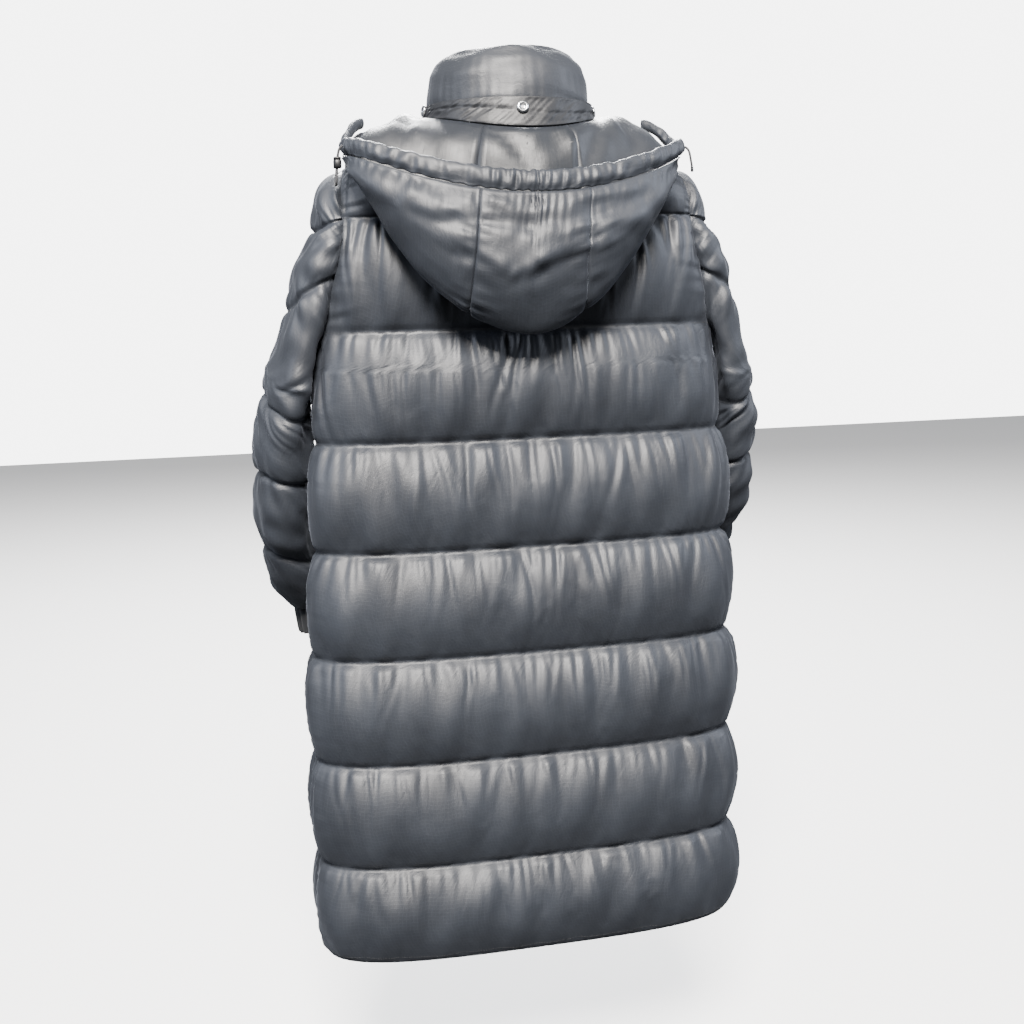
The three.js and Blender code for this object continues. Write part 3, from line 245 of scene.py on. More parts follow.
world = bpy.data.worlds.new("surround")
scene.world = world
world.use_nodes = True
surround = world.node_tree.nodes["Background"]
surround.inputs["Color"].default_value = colour("eef1f6")
direction = add_node(world.node_tree, "TexCoord").outputs["Generated"]
way = add_node(world.node_tree, "SeparateXYZ", links={0: direction})
height = add_node(world.node_tree, "MapRange", {
    "From Min": -0.4, "From Max": 0.8, "To Min": 0.1, "To Max": 0.65}, {"Value": way.outputs["Z"]})
world.node_tree.links.new(height.outputs[0], surround.inputs["Strength"])
bright = add_node(world.node_tree, "Background", {"Color": colour("ffffff"), "Strength": 6.0})
seen = add_node(world.node_tree, "MixShader", links={
    "Fac": add_node(world.node_tree, "LightPath").outputs["Is Camera Ray"],
    1: surround.outputs[0], 2: bright.outputs[0]})
world.node_tree.links.new(seen.outputs[0], world.node_tree.nodes["World Output"].inputs["Surface"])

FLOOR_Z = -1.4
floor_mesh = bpy.data.meshes.new("floor")
floor_mesh.from_pydata([(x, y, FLOOR_Z) for x, y in ((-9, -9), (9, -9), (9, 9), (-9, 9))], [], [(0, 1, 2, 3)])
floor = placed("floor", floor_mesh)
floor.data.materials.append(new_material("pale_floor", {"Base Color": colour("f2f2f2"), "Roughness": 0.9})[0])
floor.visible_diffuse = floor.visible_glossy = False


# Back
# Down-proof nylon taffeta over filling, cut in one panel from the hem to the shoulders, and quilted
# by lines 141 mm apart into puffed channels; its inner cloth lies plain against the wearer.
HEM_Z, YOKE_LINE_Z, CHANNEL, CHANNELS = -1100, -122, 141, 7
UNDERARM_Z, SQUARENESS = -310, 3.2
TIP = np.array([218.0, -4.0, -62.0])
SEAM_WALL, SEAM_GAP, EDGE_FADE = 4.5, 0.35, 24
BACK_CREST, YOKE_CREST = 31, 22
PER_CHANNEL, YOKE_ROWS, BACK_COLUMNS = 20, 20, 144
FINER = 4  # the outer cloth's grid against the inner one's
STITCH, PITCH, THREAD = 2.6, 3.4, 0.3  # a stitch's length, their distance, the thread's radius
HEM_STITCH_ROW = 3

BODY = np.array([  # z, half width, half depth of the hollow
    (-1100, 285, 90), (-968, 286, 89), (-686, 284, 86), (-404, 274, 81), (-310, 267, 79),
    (-215, 257, 78), (-122, 245, 75)], float)
NECK_HALF_WIDTH, NECK_MID_Y, NECK_BACK_Y, NECK_FRONT_Y = 86, -12, 68, -80
NECK_BACK_Z, NECK_SIDE_Z, NECK_FRONT_Z = -8, -14, -68


def along(table, at):
    """Every column of a table at values of its first one, on a smooth curve through its rows."""
    table = table if table[0, 0] < table[-1, 0] else table[::-1]
    key = table[:, 0]
    at = np.clip(at, key[0], key[-1])
    i = np.clip(np.searchsorted(key, at, side="right") - 1, 0, len(key) - 2)
    low = np.maximum(np.arange(len(key)) - 1, 0)
    high = np.minimum(np.arange(len(key)) + 1, len(key) - 1)
    slope = (table[high] - table[low]) / (key[high] - key[low])[:, None]
    span = (key[i + 1] - key[i])[..., None]
    t = ((at - key[i]) / (key[i + 1] - key[i]))[..., None]
    rise = t * (1 - t) * ((1 - t) * slope[i] - t * slope[i + 1]) * span
    return table[i] + (table[i + 1] - table[i]) * t * t * (3 - 2 * t) + rise


def eased(share):
    """From 0 to 1 with a soft start and end."""
    share = np.clip(share, 0, 1)
    return share * share * (3 - 2 * share)


def mix(a, b, share):
    """a at 0, b at 1, evenly between them."""
    return a + (b - a) * share


def unit(vectors):
    return vectors / np.maximum(np.linalg.norm(vectors, axis=-1, keepdims=True), 1e-9)


def sleeve_dent(y, z):
    """How far the side of the body gives way to the sleeve that hangs against it."""
    return 22 * eased((-318 - z) / 62) * eased((z + 720) / 80) * bell(y + 52, 62)


def body_point(z, angle):
    """The hollow of the body: a rounded rectangle, by the angle from the left side to the back."""
    size = along(BODY, z)
    c, s = np.cos(angle), np.sin(angle)
    reach = (np.abs(c) ** SQUARENESS + np.abs(s) ** SQUARENESS) ** (-1 / SQUARENESS)
    y = size[..., 2] * reach * s
    x = (size[..., 1] - sleeve_dent(y, z) * np.abs(reach * c) ** 3) * reach * c
    return np.stack([x, y, z + 0 * x], -1)


def armhole_angle(z, turn):
    """A panel's first angle: 0 up to the underarm, then a quarter ellipse to turn at the yoke line."""
    share = np.clip((z - UNDERARM_Z) / (YOKE_LINE_Z - UNDERARM_Z), 0, 1)
    return np.radians(turn) * np.sqrt(1 - (1 - share) ** 2)


def neck_point(angle):
    """The neckline, by the angle from the middle of the back to the wearer's left."""
    s, c = np.sin(angle), np.cos(angle)
    y = NECK_MID_Y + np.where(c > 0, NECK_BACK_Y - NECK_MID_Y, NECK_MID_Y - NECK_FRONT_Y) * c
    z = mix(NECK_SIDE_Z, np.where(c > 0, NECK_BACK_Z, NECK_FRONT_Z), c * c)
    return np.stack([NECK_HALF_WIDTH * s, y, z], -1)


def upper_edge(share, shoulder_share, end_share, end_angle):
    """A panel's upper edge on the left: the shoulder seam from the armhole, then the neckline."""
    shoulder = mix(TIP, neck_point(np.pi / 2), np.clip(share / shoulder_share, 0, 1)[..., None])
    part = np.clip((share - shoulder_share) / (end_share - shoulder_share), 0, 1)
    return np.where((share < shoulder_share)[..., None], shoulder,
                    neck_point(mix(np.pi / 2, end_angle, part)))


def raised_yoke(point, top, lift):
    """Above the yoke line a panel turns over on a quarter of an ellipse to its upper edge."""
    turn = lift * np.pi / 2
    raised = np.stack([mix(point[..., 0], top[..., 0], eased(lift)),
                       top[..., 1] + (point[..., 1] - top[..., 1]) * np.cos(turn),
                       point[..., 2] + (top[..., 2] - point[..., 2]) * np.sin(turn)], -1)
    return np.where(lift[..., None] == 0, point, raised)


def back_surface(z, lift, across):
    """The back's inner cloth: across runs from the left armhole or side seam to the right one."""
    first = armhole_angle(z, 33)
    point = body_point(z + 0 * across, mix(first, np.pi - first, across))
    top = upper_edge(np.where(across <= 0.5, across, 1 - across), 0.3125, 0.5, 0.0)
    top[..., 0] *= np.where(across <= 0.5, 1, -1)
    return raised_yoke(point, top, lift + 0 * across)


def panel_rows():
    """Rows from the hem up: height, share of the way between two lines, lift above the yoke line."""
    steps = np.arange(PER_CHANNEL) / PER_CHANNEL
    lines = [YOKE_LINE_Z - CHANNEL * k for k in range(CHANNELS)] + [HEM_Z]
    rows = [(mix(lines[k + 1], lines[k], s), s, 0.0) for k in range(CHANNELS - 1, -1, -1) for s in steps]
    rows += [(YOKE_LINE_Z, s, s ** 1.3) for s in np.linspace(0, 1, YOKE_ROWS + 1)]
    return np.array(rows, float)


def grid_normals(grid):
    """Directions square to a grid: its run along a row crossed with its run up a column."""
    return unit(np.cross(np.gradient(grid, axis=1), np.gradient(grid, axis=0)))


def run_lengths(grid, axis=1):
    """Lengths in millimetres from each point of a grid back to its first row or column."""
    steps = np.linalg.norm(np.diff(grid, axis=axis), axis=-1)
    pad = [(0, 0), (0, 0)]
    pad[axis] = (1, 0)
    return np.pad(np.cumsum(steps, axis), pad)


def puff(share):
    """The height of a filled channel's section between its two lines, 1 at its crest."""
    return np.sin(np.pi * np.clip(share, 0, 1) ** 1.08) ** 0.62


def fill(distance, fade=EDGE_FADE):
    """0 at an edge, 1 far from it: 1 - exp(-distance / fade)."""
    return 1 - np.exp(-distance / fade)


def bell(offset, width):
    """1 in the middle, 0 far from it: exp(-(offset / width)^2)."""
    return np.exp(-(offset / width) ** 2)


def unsqueezed(point):
    """0 in the armpit, where the sleeve and the body press each other flat, 1 away from it."""
    away = np.stack([np.abs(point[..., 0]) - 268, point[..., 1] + 8, point[..., 2] + 305], -1)
    return 1 - bell(np.linalg.norm(away, axis=-1), 92)


def uneven(seed, a, b, waves=12):
    """A smooth uneven field, mostly within -1 to 1, whose waves are about one unit of a and b long."""
    rng = np.random.default_rng(seed)
    total = 0
    for _ in range(waves):
        turn, often, phase = rng.uniform(0, 2 * np.pi), rng.uniform(0.6, 1.5), rng.uniform(0, 2 * np.pi)
        total = total + np.sin(2 * np.pi * often * (a * np.cos(turn) + b * np.sin(turn)) + phase)
    return total * 0.9 * np.sqrt(2 / waves)


def finer(grid):
    """The grid with a new row and column between each two, on smooth curves."""
    for axis in (0, 1):
        a = np.moveaxis(grid, axis, 0)
        wide = np.concatenate([[2 * a[0] - a[1]], a, [2 * a[-1] - a[-2]]])
        out = np.empty((2 * len(a) - 1,) + a.shape[1:])
        out[0::2] = a
        out[1::2] = (9 * (a[:-1] + a[1:]) - wide[:-3] - wide[3:]) / 16
        grid = np.moveaxis(out, 0, axis)
    return grid


def grid_index(rows, columns, joined, start=0):
    """Vertex numbers of a grid; from the joined row on, its last column is its first again."""
    index = start + np.arange(rows * columns).reshape(rows, columns)
    if joined is not None:
        index[joined:, -1] = index[joined:, 0]
    return index


def inflate(grid, outward, held, pressure, excess, cap, joined=None, frames=20):
    """Blender's cloth under pressure, without gravity: the held points stay, between them the cloth
    is longer than its place by excess along x, y and z, and no point moves further than cap."""
    facing = np.sum(grid_normals(grid) * outward) > 0
    faces = quads(grid_index(*grid.shape[:2], joined))
    piece = solid("inflated", grid, (faces if facing else faces[:, ::-1]).tolist())
    group = piece.vertex_groups.new(name="held")
    group.add(np.flatnonzero(held.reshape(-1)).tolist(), 1.0, "REPLACE")
    piece.shape_key_add(name="placed")
    longer = piece.shape_key_add(name="longer")
    longer.data.foreach_set("co", (grid * (1 + np.array(excess)) / 1000).reshape(-1))
    cloth = piece.modifiers.new("cloth", "CLOTH")
    settings = cloth.settings
    settings.rest_shape_key = longer
    settings.quality = 5
    settings.mass = 0.15
    settings.tension_stiffness = settings.compression_stiffness = 18
    settings.shear_stiffness = 6
    settings.bending_stiffness = 0.3
    settings.effector_weights.gravity = 0
    settings.use_pressure = True
    settings.uniform_pressure_force = pressure
    settings.vertex_group_mass = "held"
    cloth.collision_settings.use_collision = False
    cloth.point_cache.frame_start = 1
    cloth.point_cache.frame_end = frames
    for number in range(1, frames + 1):
        scene.frame_set(number)
    settled = piece.evaluated_get(bpy.context.evaluated_depsgraph_get()).to_mesh()
    places = np.empty(len(settled.vertices) * 3)
    settled.vertices.foreach_get("co", places)
    bpy.data.objects.remove(piece)
    scene.frame_set(1)
    moved = places.reshape(grid.shape) * 1000 - grid
    if joined is not None:
        moved[joined:, -1] = moved[joined:, 0]
    far = np.linalg.norm(moved, axis=-1, keepdims=True)
    return grid + moved * np.minimum(1, cap / np.maximum(far, 1e-9))


def inside_out(points, fours, threes):
    """Whether a closed solid's faces enclose a volume below 0, the sum of a . (b x c) over triangles."""
    a, b, c = points[np.concatenate([fours[:, :3], fours[:, [0, 2, 3]], threes])].swapaxes(0, 1)
    return np.sum(a * np.cross(b, c)) < 0


def wall(name, inner, outer, joined=None, ratio=FINER):
    """A closed cloth wall between two grids: the outer one as it is, every ratio-th point of the
    inner one, and strips that join their edges. Its UVs are lengths on the cloth in metres."""
    inner = inner[::ratio, ::ratio]
    rows, columns = outer.shape[:2]
    low_rows, low_columns = inner.shape[:2]
    low_joined = None if joined is None else joined // ratio
    top = grid_index(rows, columns, None)
    bottom = grid_index(low_rows, low_columns, None, rows * columns)
    faces = [quads(top), quads(bottom)[:, ::-1]]
    strips = []

    def strip(fine, coarse):
        """Triangles from a fine edge to one with fewer points."""
        half = ratio // 2
        pairs = np.stack([coarse[:-1], coarse[1:]], -1)
        fans = np.stack([np.repeat(pairs, half, 1), fine[1:].reshape(-1, ratio),
                         fine[:-1].reshape(-1, ratio)], -1)
        bridges = np.concatenate([pairs, fine[half::ratio, None]], 1)[:, None]
        strips.append(np.concatenate([fans[:, :half], bridges, fans[:, half:]], 1).reshape(-1, 3))

    strip(top[0], bottom[0])
    strip(top[-1, ::-1], bottom[-1, ::-1])
    side = slice(None) if joined is None else slice(0, joined + 1)
    low_side = slice(None) if joined is None else slice(0, low_joined + 1)
    if joined != 0:
        strip(top[side, 0][::-1], bottom[low_side, 0][::-1])
        strip(top[side, -1], bottom[low_side, -1])
    points = np.concatenate([outer.reshape(-1, 3), inner.reshape(-1, 3)]) / 1000
    lengths = np.concatenate([
        np.stack([run_lengths(g, 1), run_lengths(g, 0)], -1).reshape(-1, 2) for g in (outer, inner)]) / 1000
    shared = np.arange(len(points))
    for index, row in ((top, joined), (bottom, low_joined)):
        if row is not None:
            shared[index[row:, -1]] = index[row:, 0]
    faces, strips = np.concatenate(faces), np.concatenate(strips)
    corners = np.concatenate([faces.reshape(-1), strips.reshape(-1)])
    sizes = np.repeat([4, 3], [len(faces), len(strips)])
    used, numbers = np.unique(shared[corners], return_inverse=True)
    places = points[used]
    starts = np.cumsum(sizes) - sizes
    if inside_out(points, faces, strips):
        order = np.repeat(2 * starts + sizes - 1, sizes) - np.arange(len(corners))
        numbers, corners = numbers[order], corners[order]
    mesh = bpy.data.meshes.new(name)
    mesh.vertices.add(len(places))
    mesh.vertices.foreach_set("co", places.reshape(-1))
    mesh.loops.add(len(numbers))
    mesh.loops.foreach_set("vertex_index", numbers)
    mesh.polygons.add(len(sizes))
    mesh.polygons.foreach_set("loop_start", starts)
    mesh.polygons.foreach_set("use_smooth", np.ones(len(sizes), bool))
    mesh.uv_layers.new(name="cloth").data.foreach_set("uv", lengths[corners].reshape(-1))
    mesh.update(calc_edges=True)
    mesh.validate()
    return placed(name, mesh)


def cloth_material(name, low, high, roughness, sheen, weave=0.42, ripstop=5.0, crumple=0.25):
    """Nylon taffeta or satin: fine weave, a faint ripstop grid, small soft creases, cloudy shading.
    weave and ripstop are the distances between threads in millimetres."""
    made, tree, shader = new_material(name, {
        "Sheen Weight": sheen, "Sheen Roughness": 0.35, "Sheen Tint": colour("c4cde0"),
        "Specular IOR Level": 0.6})
    cloth = add_node(tree, "UVMap", {"uv_map": "cloth"}).outputs[0]
    place = add_node(tree, "TexCoord").outputs["Object"]
    cloud = add_node(tree, "TexNoise", {"Scale": 9.0, "Detail": 4.0, "Roughness": 0.6}, {"Vector": place})
    threads = [add_node(tree, "TexWave", {"bands_direction": axis, "Scale": 314 / weave,
                                          "Distortion": 0.0}, {"Vector": cloth}).outputs["Fac"]
               for axis in "XY"]
    plain = add_node(tree, "Math", {"operation": "MULTIPLY"}, {0: threads[0], 1: threads[1]}).outputs[0]
    grid = [add_node(tree, "TexWave", {"bands_direction": axis, "Scale": 314 / ripstop,
                                       "Distortion": 0.0}, {"Vector": cloth}).outputs["Fac"]
            for axis in "XY"]
    lines = add_node(tree, "Math", {"operation": "MAXIMUM"}, {0: grid[0], 1: grid[1]}).outputs[0]
    raised = add_node(tree, "MapRange", {"From Min": 0.9, "From Max": 1.0}, {"Value": lines}).outputs[0]
    shade = add_node(tree, "Math", {"operation": "MULTIPLY_ADD", 1: 0.12},
                     {0: raised, 2: cloud.outputs["Fac"]})
    tree.links.new(shades(tree, shade.outputs[0], low, high, 0.3, 0.75), shader.inputs["Base Color"])
    rough = add_node(tree, "MapRange", {"To Min": roughness - 0.06, "To Max": roughness + 0.08},
                     {"Value": add_node(tree, "TexNoise", {"Scale": 55.0, "Detail": 3.0},
                                        {"Vector": place}).outputs["Fac"]})
    tree.links.new(rough.outputs[0], shader.inputs["Roughness"])
    longer = add_node(tree, "Mapping", {"Scale": (1.0, 0.38, 1.0)}, {"Vector": cloth}).outputs[0]
    folds = add_node(tree, "TexNoise", {"Scale": 48.0, "Detail": 5.0, "Roughness": 0.55, "Distortion": 0.6},
                     {"Vector": longer}).outputs["Fac"]
    bump = add_node(tree, "Bump", {"Strength": crumple, "Distance": 0.004}, {"Height": folds})
    fine = add_node(tree, "Bump", {"Strength": 0.12, "Distance": 0.0004},
                    {"Height": raised, "Normal": bump.outputs[0]})
    finest = add_node(tree, "Bump", {"Strength": 0.1, "Distance": 0.0002},
                      {"Height": plain, "Normal": fine.outputs[0]})
    tree.links.new(finest.outputs[0], shader.inputs["Normal"])
    return made


def pleats(seed, run, away, reach, every, depth, lean=0.0):
    """Narrow folds that hang from a sewn line, in millimetres: run goes along the line, away from it.
    Each is a trough with a ridge beside it, exp(-(offset / width)^2), and dies out at its own length."""
    rng = np.random.default_rng(seed)
    total = np.zeros(np.broadcast(run, away).shape)
    spots = np.arange(run.min(), run.max(), every)
    for place in spots + rng.uniform(-0.45, 0.45, len(spots)) * every:
        slant, width = lean + rng.normal(0, 0.12), rng.uniform(2.4, 5.6)
        length, strength, phase = reach * rng.uniform(0.22, 1), rng.uniform(0.3, 1), rng.uniform(0, 6.3)
        offset = run - place - slant * away - 1.6 * np.sin(away / 17 + phase)
        fold = 0.65 * bell(offset - 1.9 * width, 1.2 * width) - bell(offset, width)
        total += depth * strength * fold * bell(away, length)
    return total * fill(away, 2.5)


PLEATS = [  # from the hem's channel up to the yoke: how far the pleats hang from the upper line, their depth
    (80, 2.2), (84, 2.3), (90, 2.5), (95, 2.7), (105, 3.0), (130, 3.8), (140, 4.2), (60, 2.4)]


def panel_pleats(seed, outer, stand, rows, first, last, last_depth):
    """The gathers of a panel, hanging from each line, standing on it, and along both side seams."""
    run = (first - last) / 2 if last_depth > 1 else -last
    up = run_lengths(outer, 0)[:, outer.shape[1] // 2, None] + 0 * run
    starts = np.append(np.flatnonzero(rows[:, 1] == 0), len(rows) - 1)
    lift = pleats(seed, up, first, 42, 11, 1.9) + pleats(seed + 1, up, last, 42, 11, last_depth)
    for k, (reach, depth) in enumerate(PLEATS):
        part = slice(starts[k], starts[k + 1])
        size = 90.0 if k == len(PLEATS) - 1 else float(CHANNEL)
        share = rows[part, 1, None]
        lift[part] += pleats(seed + 10 + k, run[part], (1 - share) * size, reach, 12, depth)
        lift[part] += pleats(seed + 30 + k, run[part], share * size, 34, 13, 1.2)
    ends = np.minimum(rows[:, 1], 1 - rows[:, 1])[:, None] * CHANNEL
    off = fill(ends, 3) * fill(first, 3) * fill(last, 3)
    calm = bell(np.gradient(run, axis=0), 4)
    for _ in range(5):
        calm[1:-1] = (calm[:-2] + 2 * calm[1:-1] + calm[2:]) / 4
    return outer + stand * (lift * off * calm)[..., None]


def stitched(name, lines, outward):
    """Lockstitching as one mesh: a row of stitches along each line of points, each with five sides
    and a point at both ends, half sunk in the cloth."""
    starts, ways, ups = [], [], []
    for line, out in zip(lines, outward):
        length = np.concatenate([[0], np.cumsum(np.linalg.norm(np.diff(line, axis=0), axis=1))])
        at = np.arange(2.5, length[-1] - 2.5, PITCH)
        place = np.stack([np.interp(at, length, line[:, k]) for k in range(3)], -1)
        after = np.stack([np.interp(at + STITCH / 2, length, line[:, k]) for k in range(3)], -1)
        before = np.stack([np.interp(at - STITCH / 2, length, line[:, k]) for k in range(3)], -1)
        starts.append(place)
        ways.append(unit(after - before))
        ups.append(np.stack([np.interp(at, length, out[:, k]) for k in range(3)], -1))
    place, way, up = (np.concatenate(part) for part in (starts, ways, ups))
    beside = unit(np.cross(way, up))
    up = np.cross(beside, way)
    turn = 2 * np.pi * np.arange(5) / 5
    rings = [place[:, None] + way[:, None] * shift + THREAD * (beside[:, None] * np.cos(turn)[:, None]
                                                               + up[:, None] * np.sin(turn)[:, None])
             for shift in (-0.8, 0.8)]
    points = np.concatenate([(place - way * STITCH / 2)[:, None], *rings,
                             (place + way * STITCH / 2)[:, None]], 1)
    k, after = np.arange(5), (np.arange(5) + 1) % 5
    tips = np.concatenate([np.stack([0 * k, 1 + after, 1 + k], -1),
                           np.stack([0 * k + 11, 6 + k, 6 + after], -1)])
    sides = np.stack([1 + k, 1 + after, 6 + after, 6 + k], -1)
    base = 12 * np.arange(len(place))[:, None, None]
    return solid(name, points, (tips + base).reshape(-1, 3).tolist() + (sides + base).reshape(-1, 4).tolist())


def quilted_panel(name, surface, columns, crest, seed, behind, side):
    """One panel of the body, from its surface: plain inside, blown up by the cloth solver outside."""
    rows = panel_rows()
    z, share, lift = rows[:, 0, None], rows[:, 1, None], rows[:, 2, None]
    inner = surface(z, lift, np.linspace(0, 1, columns + 1)[None, :])
    stand = grid_normals(inner) * (1 if behind else -1)
    # Along the side and shoulder seams both panels' walls stand the same way.
    low = (rows[:, 0] <= UNDERARM_Z + 1) & (rows[:, 2] == 0)
    stand[low, 0] = (1, 0, 0)
    stand[-1, :, 1] = 0
    stand[-1, 0] = (0.3, 0, 1)
    if behind:
        stand[low, -1] = (-1, 0, 0)
        stand[-1, -1] = (-0.3, 0, 1)
    else:
        stand[:, -1, 0] = 0
    stand = unit(stand)
    first = run_lengths(inner)
    last = first[:, -1:] - first
    near = fill(first) * (fill(last) if behind else fill(last + 6))
    height = (np.where(lift > 0, YOKE_CREST, crest) - SEAM_WALL) * puff(share) * near * unsqueezed(inner)
    outer = inner + stand * (SEAM_WALL + 0.86 * height)[..., None]
    along_z = run_lengths(inner, 0)
    lumps = uneven(seed, (first - last) / 72, along_z / 170)
    outer += stand * (1.6 * np.minimum(height / 10, 1) * lumps)[..., None]
    # Each sewn edge keeps half the seam gap.
    half_gap = SEAM_GAP / 2 if behind else -SEAM_GAP / 2
    for grid in (inner, outer):
        grid[low, 0, 1] += half_gap
        if behind:
            grid[low, -1, 1] += half_gap
        seam = (np.abs(grid[-1, :, 1] - TIP[1]) < 12) & (np.abs(grid[-1, :, 0]) > 80)
        grid[-1, seam, 1] += half_gap
    mirror = np.array([side, 1, 1])
    inner, outer, stand = inner * mirror, outer * mirror, stand * mirror
    held = (share + 0 * first == 0) | (lift + 0 * first == 1) | (first == 0) | (last == 0)
    outer = inflate(outer, stand, held, pressure=2.2, excess=(0.10, 0.10, 0.02), cap=14)
    outer, inner = finer(outer), finer(inner)
    fine_rows = np.repeat(rows, 2, 0)[:-1]
    fine_rows[1::2] = (rows[:-1] + rows[1:]) / 2
    ends = np.flatnonzero(rows[1:, 1] < rows[:-1, 1])
    fine_rows[2 * ends + 1, 1] = 1 - 0.5 / PER_CHANNEL
    fine_stand = unit(finer(stand))
    outer = panel_pleats(seed + 100, outer, fine_stand, fine_rows, finer(first), finer(last),
                         1.9 if behind else 1.0)
    sewn = np.append(np.flatnonzero(fine_rows[:, 1] == 0)[1:], HEM_STITCH_ROW)
    return wall(name, inner, outer), outer[sewn], fine_stand[sewn]


nylon = cloth_material("shell_nylon_taffeta", "202329", "2e3239", 0.5, 0.1)
back, sewn, outward = quilted_panel("back_panel", back_surface, BACK_COLUMNS, BACK_CREST, 11, True, 1)
finish_piece(back, "shell_cloth", nylon, "back")

thread = new_material("polyester_thread", {
    "Base Color": colour("1a1c20"), "Roughness": 0.55, "Sheen Weight": 0.2})[0]
finish_piece(stitched("back_stitching", sewn, outward), "shell_cloth", thread)


# Fronts
# The same quilting, one panel each side, sewn to the back at the side and shoulder seams. The
# photograph doesn't show them, so their lines lie at the back's heights.
FRONT_CREST, FRONT_COLUMNS, ZIP_HALF_WIDTH = 29, 72, 8
NECK_END = np.pi - math.asin(ZIP_HALF_WIDTH / NECK_HALF_WIDTH)  # the neckline's angle at the zip


def front_surface(z, lift, across):
    """The left front's inner cloth: across runs from the armhole or side seam to the zip."""
    first = armhole_angle(z, 36)
    point = body_point(z + 0 * across, mix(-first, -np.pi / 2, across))
    point[..., 0] = np.where(across == 1, ZIP_HALF_WIDTH, point[..., 0])
    top = upper_edge(across, 0.625, 1, NECK_END)
    return raised_yoke(point, top, lift + 0 * across)


for side, sign, seed in (("left", 1, 31), ("right", -1, 51)):
    front, sewn, outward = quilted_panel("front_panel_" + side, front_surface, FRONT_COLUMNS, FRONT_CREST,
                                         seed, False, sign)
    finish_piece(front, "shell_cloth", nylon, "front_" + side + "_upper", "front_" + side + "_lower")
    finish_piece(stitched("front_stitching_" + side, sewn, outward), "shell_cloth", thread)


# Sleeves
# One piece each with a cap, closed by an underarm seam. The quilting lines lean down from the outer
# side to the body, as the photograph shows.
SLEEVE = np.array([  # z of the end at the armhole or underarm, its x and y, the outer side, half depth
    (-62, 218, -4, 218, -62, -4, 0), (-122, 238, 0, 250, -140, -8, 52), (-192, 240, 0, 292, -238, -14, 62),
    (-263, 252, 0, 322, -338, -26, 62), (-310, 266, 0, 331, -392, -34, 60),
    (-345, 272, -16, 335, -419, -42, 61), (-385, 278, -36, 336, -443, -49, 61),
    (-452, 281, -60, 336, -495, -62, 60),
    (-520, 281, -88, 332, -548, -88, 56), (-590, 266, -124, 316, -606, -124, 48),
    (-640, 230, -148, 296, -652, -148, 37)], float)
WRIST = SLEEVE[-1]
WRIST_MIDDLE = np.array([(WRIST[1] + WRIST[3]) / 2, WRIST[5], (WRIST[0] + WRIST[4]) / 2])
OUTER_LINES = [-62, -122, -192, -242, -263, -385, -520, -640]  # each row's place in the table, on the
INNER_LINES = [-62, -122, -186, -310, -362, -452, -572, -640]  # outer side and next to the body
SLEEVE_STEPS = [12, 16, 18, 7, 22, 22, 19]  # rows from each to the next; the fourth is the underarm
UNDERARM = 3
SLEEVE_PLEATS = [  # for each channel how far they hang, their depth and how much they lean
    (30, 1.4, 0.1), (42, 1.8, 0.2), (60, 2.4, 0.45), (80, 3.0, 0.6), (56, 1.9, 0.3), (48, 1.6, 0.1)]
SLEEVE_COLUMNS, SLEEVE_CHANNEL, SLEEVE_CREST = 72, 105, 23
SLEEVE_CLEARANCE, CONTACT, SHOULDER_ROUND = 1.5, 3, 5


def armhole_edges(z, lift):
    """The back's and the front's edge at the armhole, each with a line just inside it."""
    zero = np.zeros_like(z)
    return [(surface(z, lift, zero), surface(z, lift, zero + step))
            for surface, step in ((back_surface, 1 / 16), (front_surface, 1 / 8))]


def armhole_ends(z):
    """Both edges, each moved outwards by the seam's gap."""
    ends = armhole_edges(z, np.zeros_like(z))
    away = [unit(edge - beside) for edge, beside in ends]
    outward = unit(away[0] + away[1])
    outward = unit(mix(outward, unit(np.array([0.2, 0, 1.0])), eased((-292 - z) / 14)[..., None]))
    return ends[0][0] + outward * SEAM_GAP, ends[1][0] + outward * SEAM_GAP


def sleeve_arc(z, across):
    """An open section of the sleeve between its two ends at the armhole."""
    behind, before = armhole_ends(z)
    size = along(SLEEVE, z)
    out = size[..., [3, 5, 4]]
    middle, half = (behind + before) / 2, (behind - before) / 2
    sine = np.clip(np.linalg.norm(half, axis=-1) / size[..., 6], 1e-3, 1)
    stop = (np.pi - np.arcsin(sine))[..., None]
    centre = (middle - out * np.cos(stop)) / (1 - np.cos(stop))
    turn = across[..., None] * stop
    return centre + (out - centre) * np.cos(turn) + half / sine[..., None] * np.sin(turn)


def sleeve_ring(z, across):
    """A closed section, from the underarm seam round the front, the outer side and the back."""
    size = along(SLEEVE, z)
    out, end = size[..., [3, 5, 4]], np.stack([size[..., 1], size[..., 2], z], -1)
    centre = (out + end) / 2
    turn = across[..., None] * np.pi
    deep = np.stack([0 * z, size[..., 6] * np.sin(turn[..., 0]), 0 * z], -1)
    return centre + (out - centre) * np.cos(turn) + deep


def armhole_over_shoulder(across):
    """The armhole's edge from the front's yoke line over the shoulder to the back's."""
    lift = 1 - np.abs(across)
    back, front = armhole_edges(np.full_like(across, YOKE_LINE_Z), lift)
    behind = (across > 0)[..., None]
    point = np.where(behind, back[0], front[0])
    away = unit(np.where(behind, back[0] - back[1], front[0] - front[1]))
    away[..., 1] *= np.abs(across)
    return point + unit(away) * SEAM_GAP


def body_side(y, z):
    """How far out the quilted side of the body reaches; 0 in front of and behind the body."""
    size = along(BODY, z)
    edge = np.stack([size[..., 1], y, z], -1)
    depth = SEAM_WALL + (BACK_CREST - SEAM_WALL) * fill(np.abs(y)) * unsqueezed(edge)
    share = np.clip(np.abs(y) / (size[..., 2] + depth), 0, 1)
    reach = (size[..., 1] + depth) * (1 - share ** SQUARENESS) ** (1 / SQUARENESS) - sleeve_dent(y, z)
    return np.where(share >= 1, 0, reach)


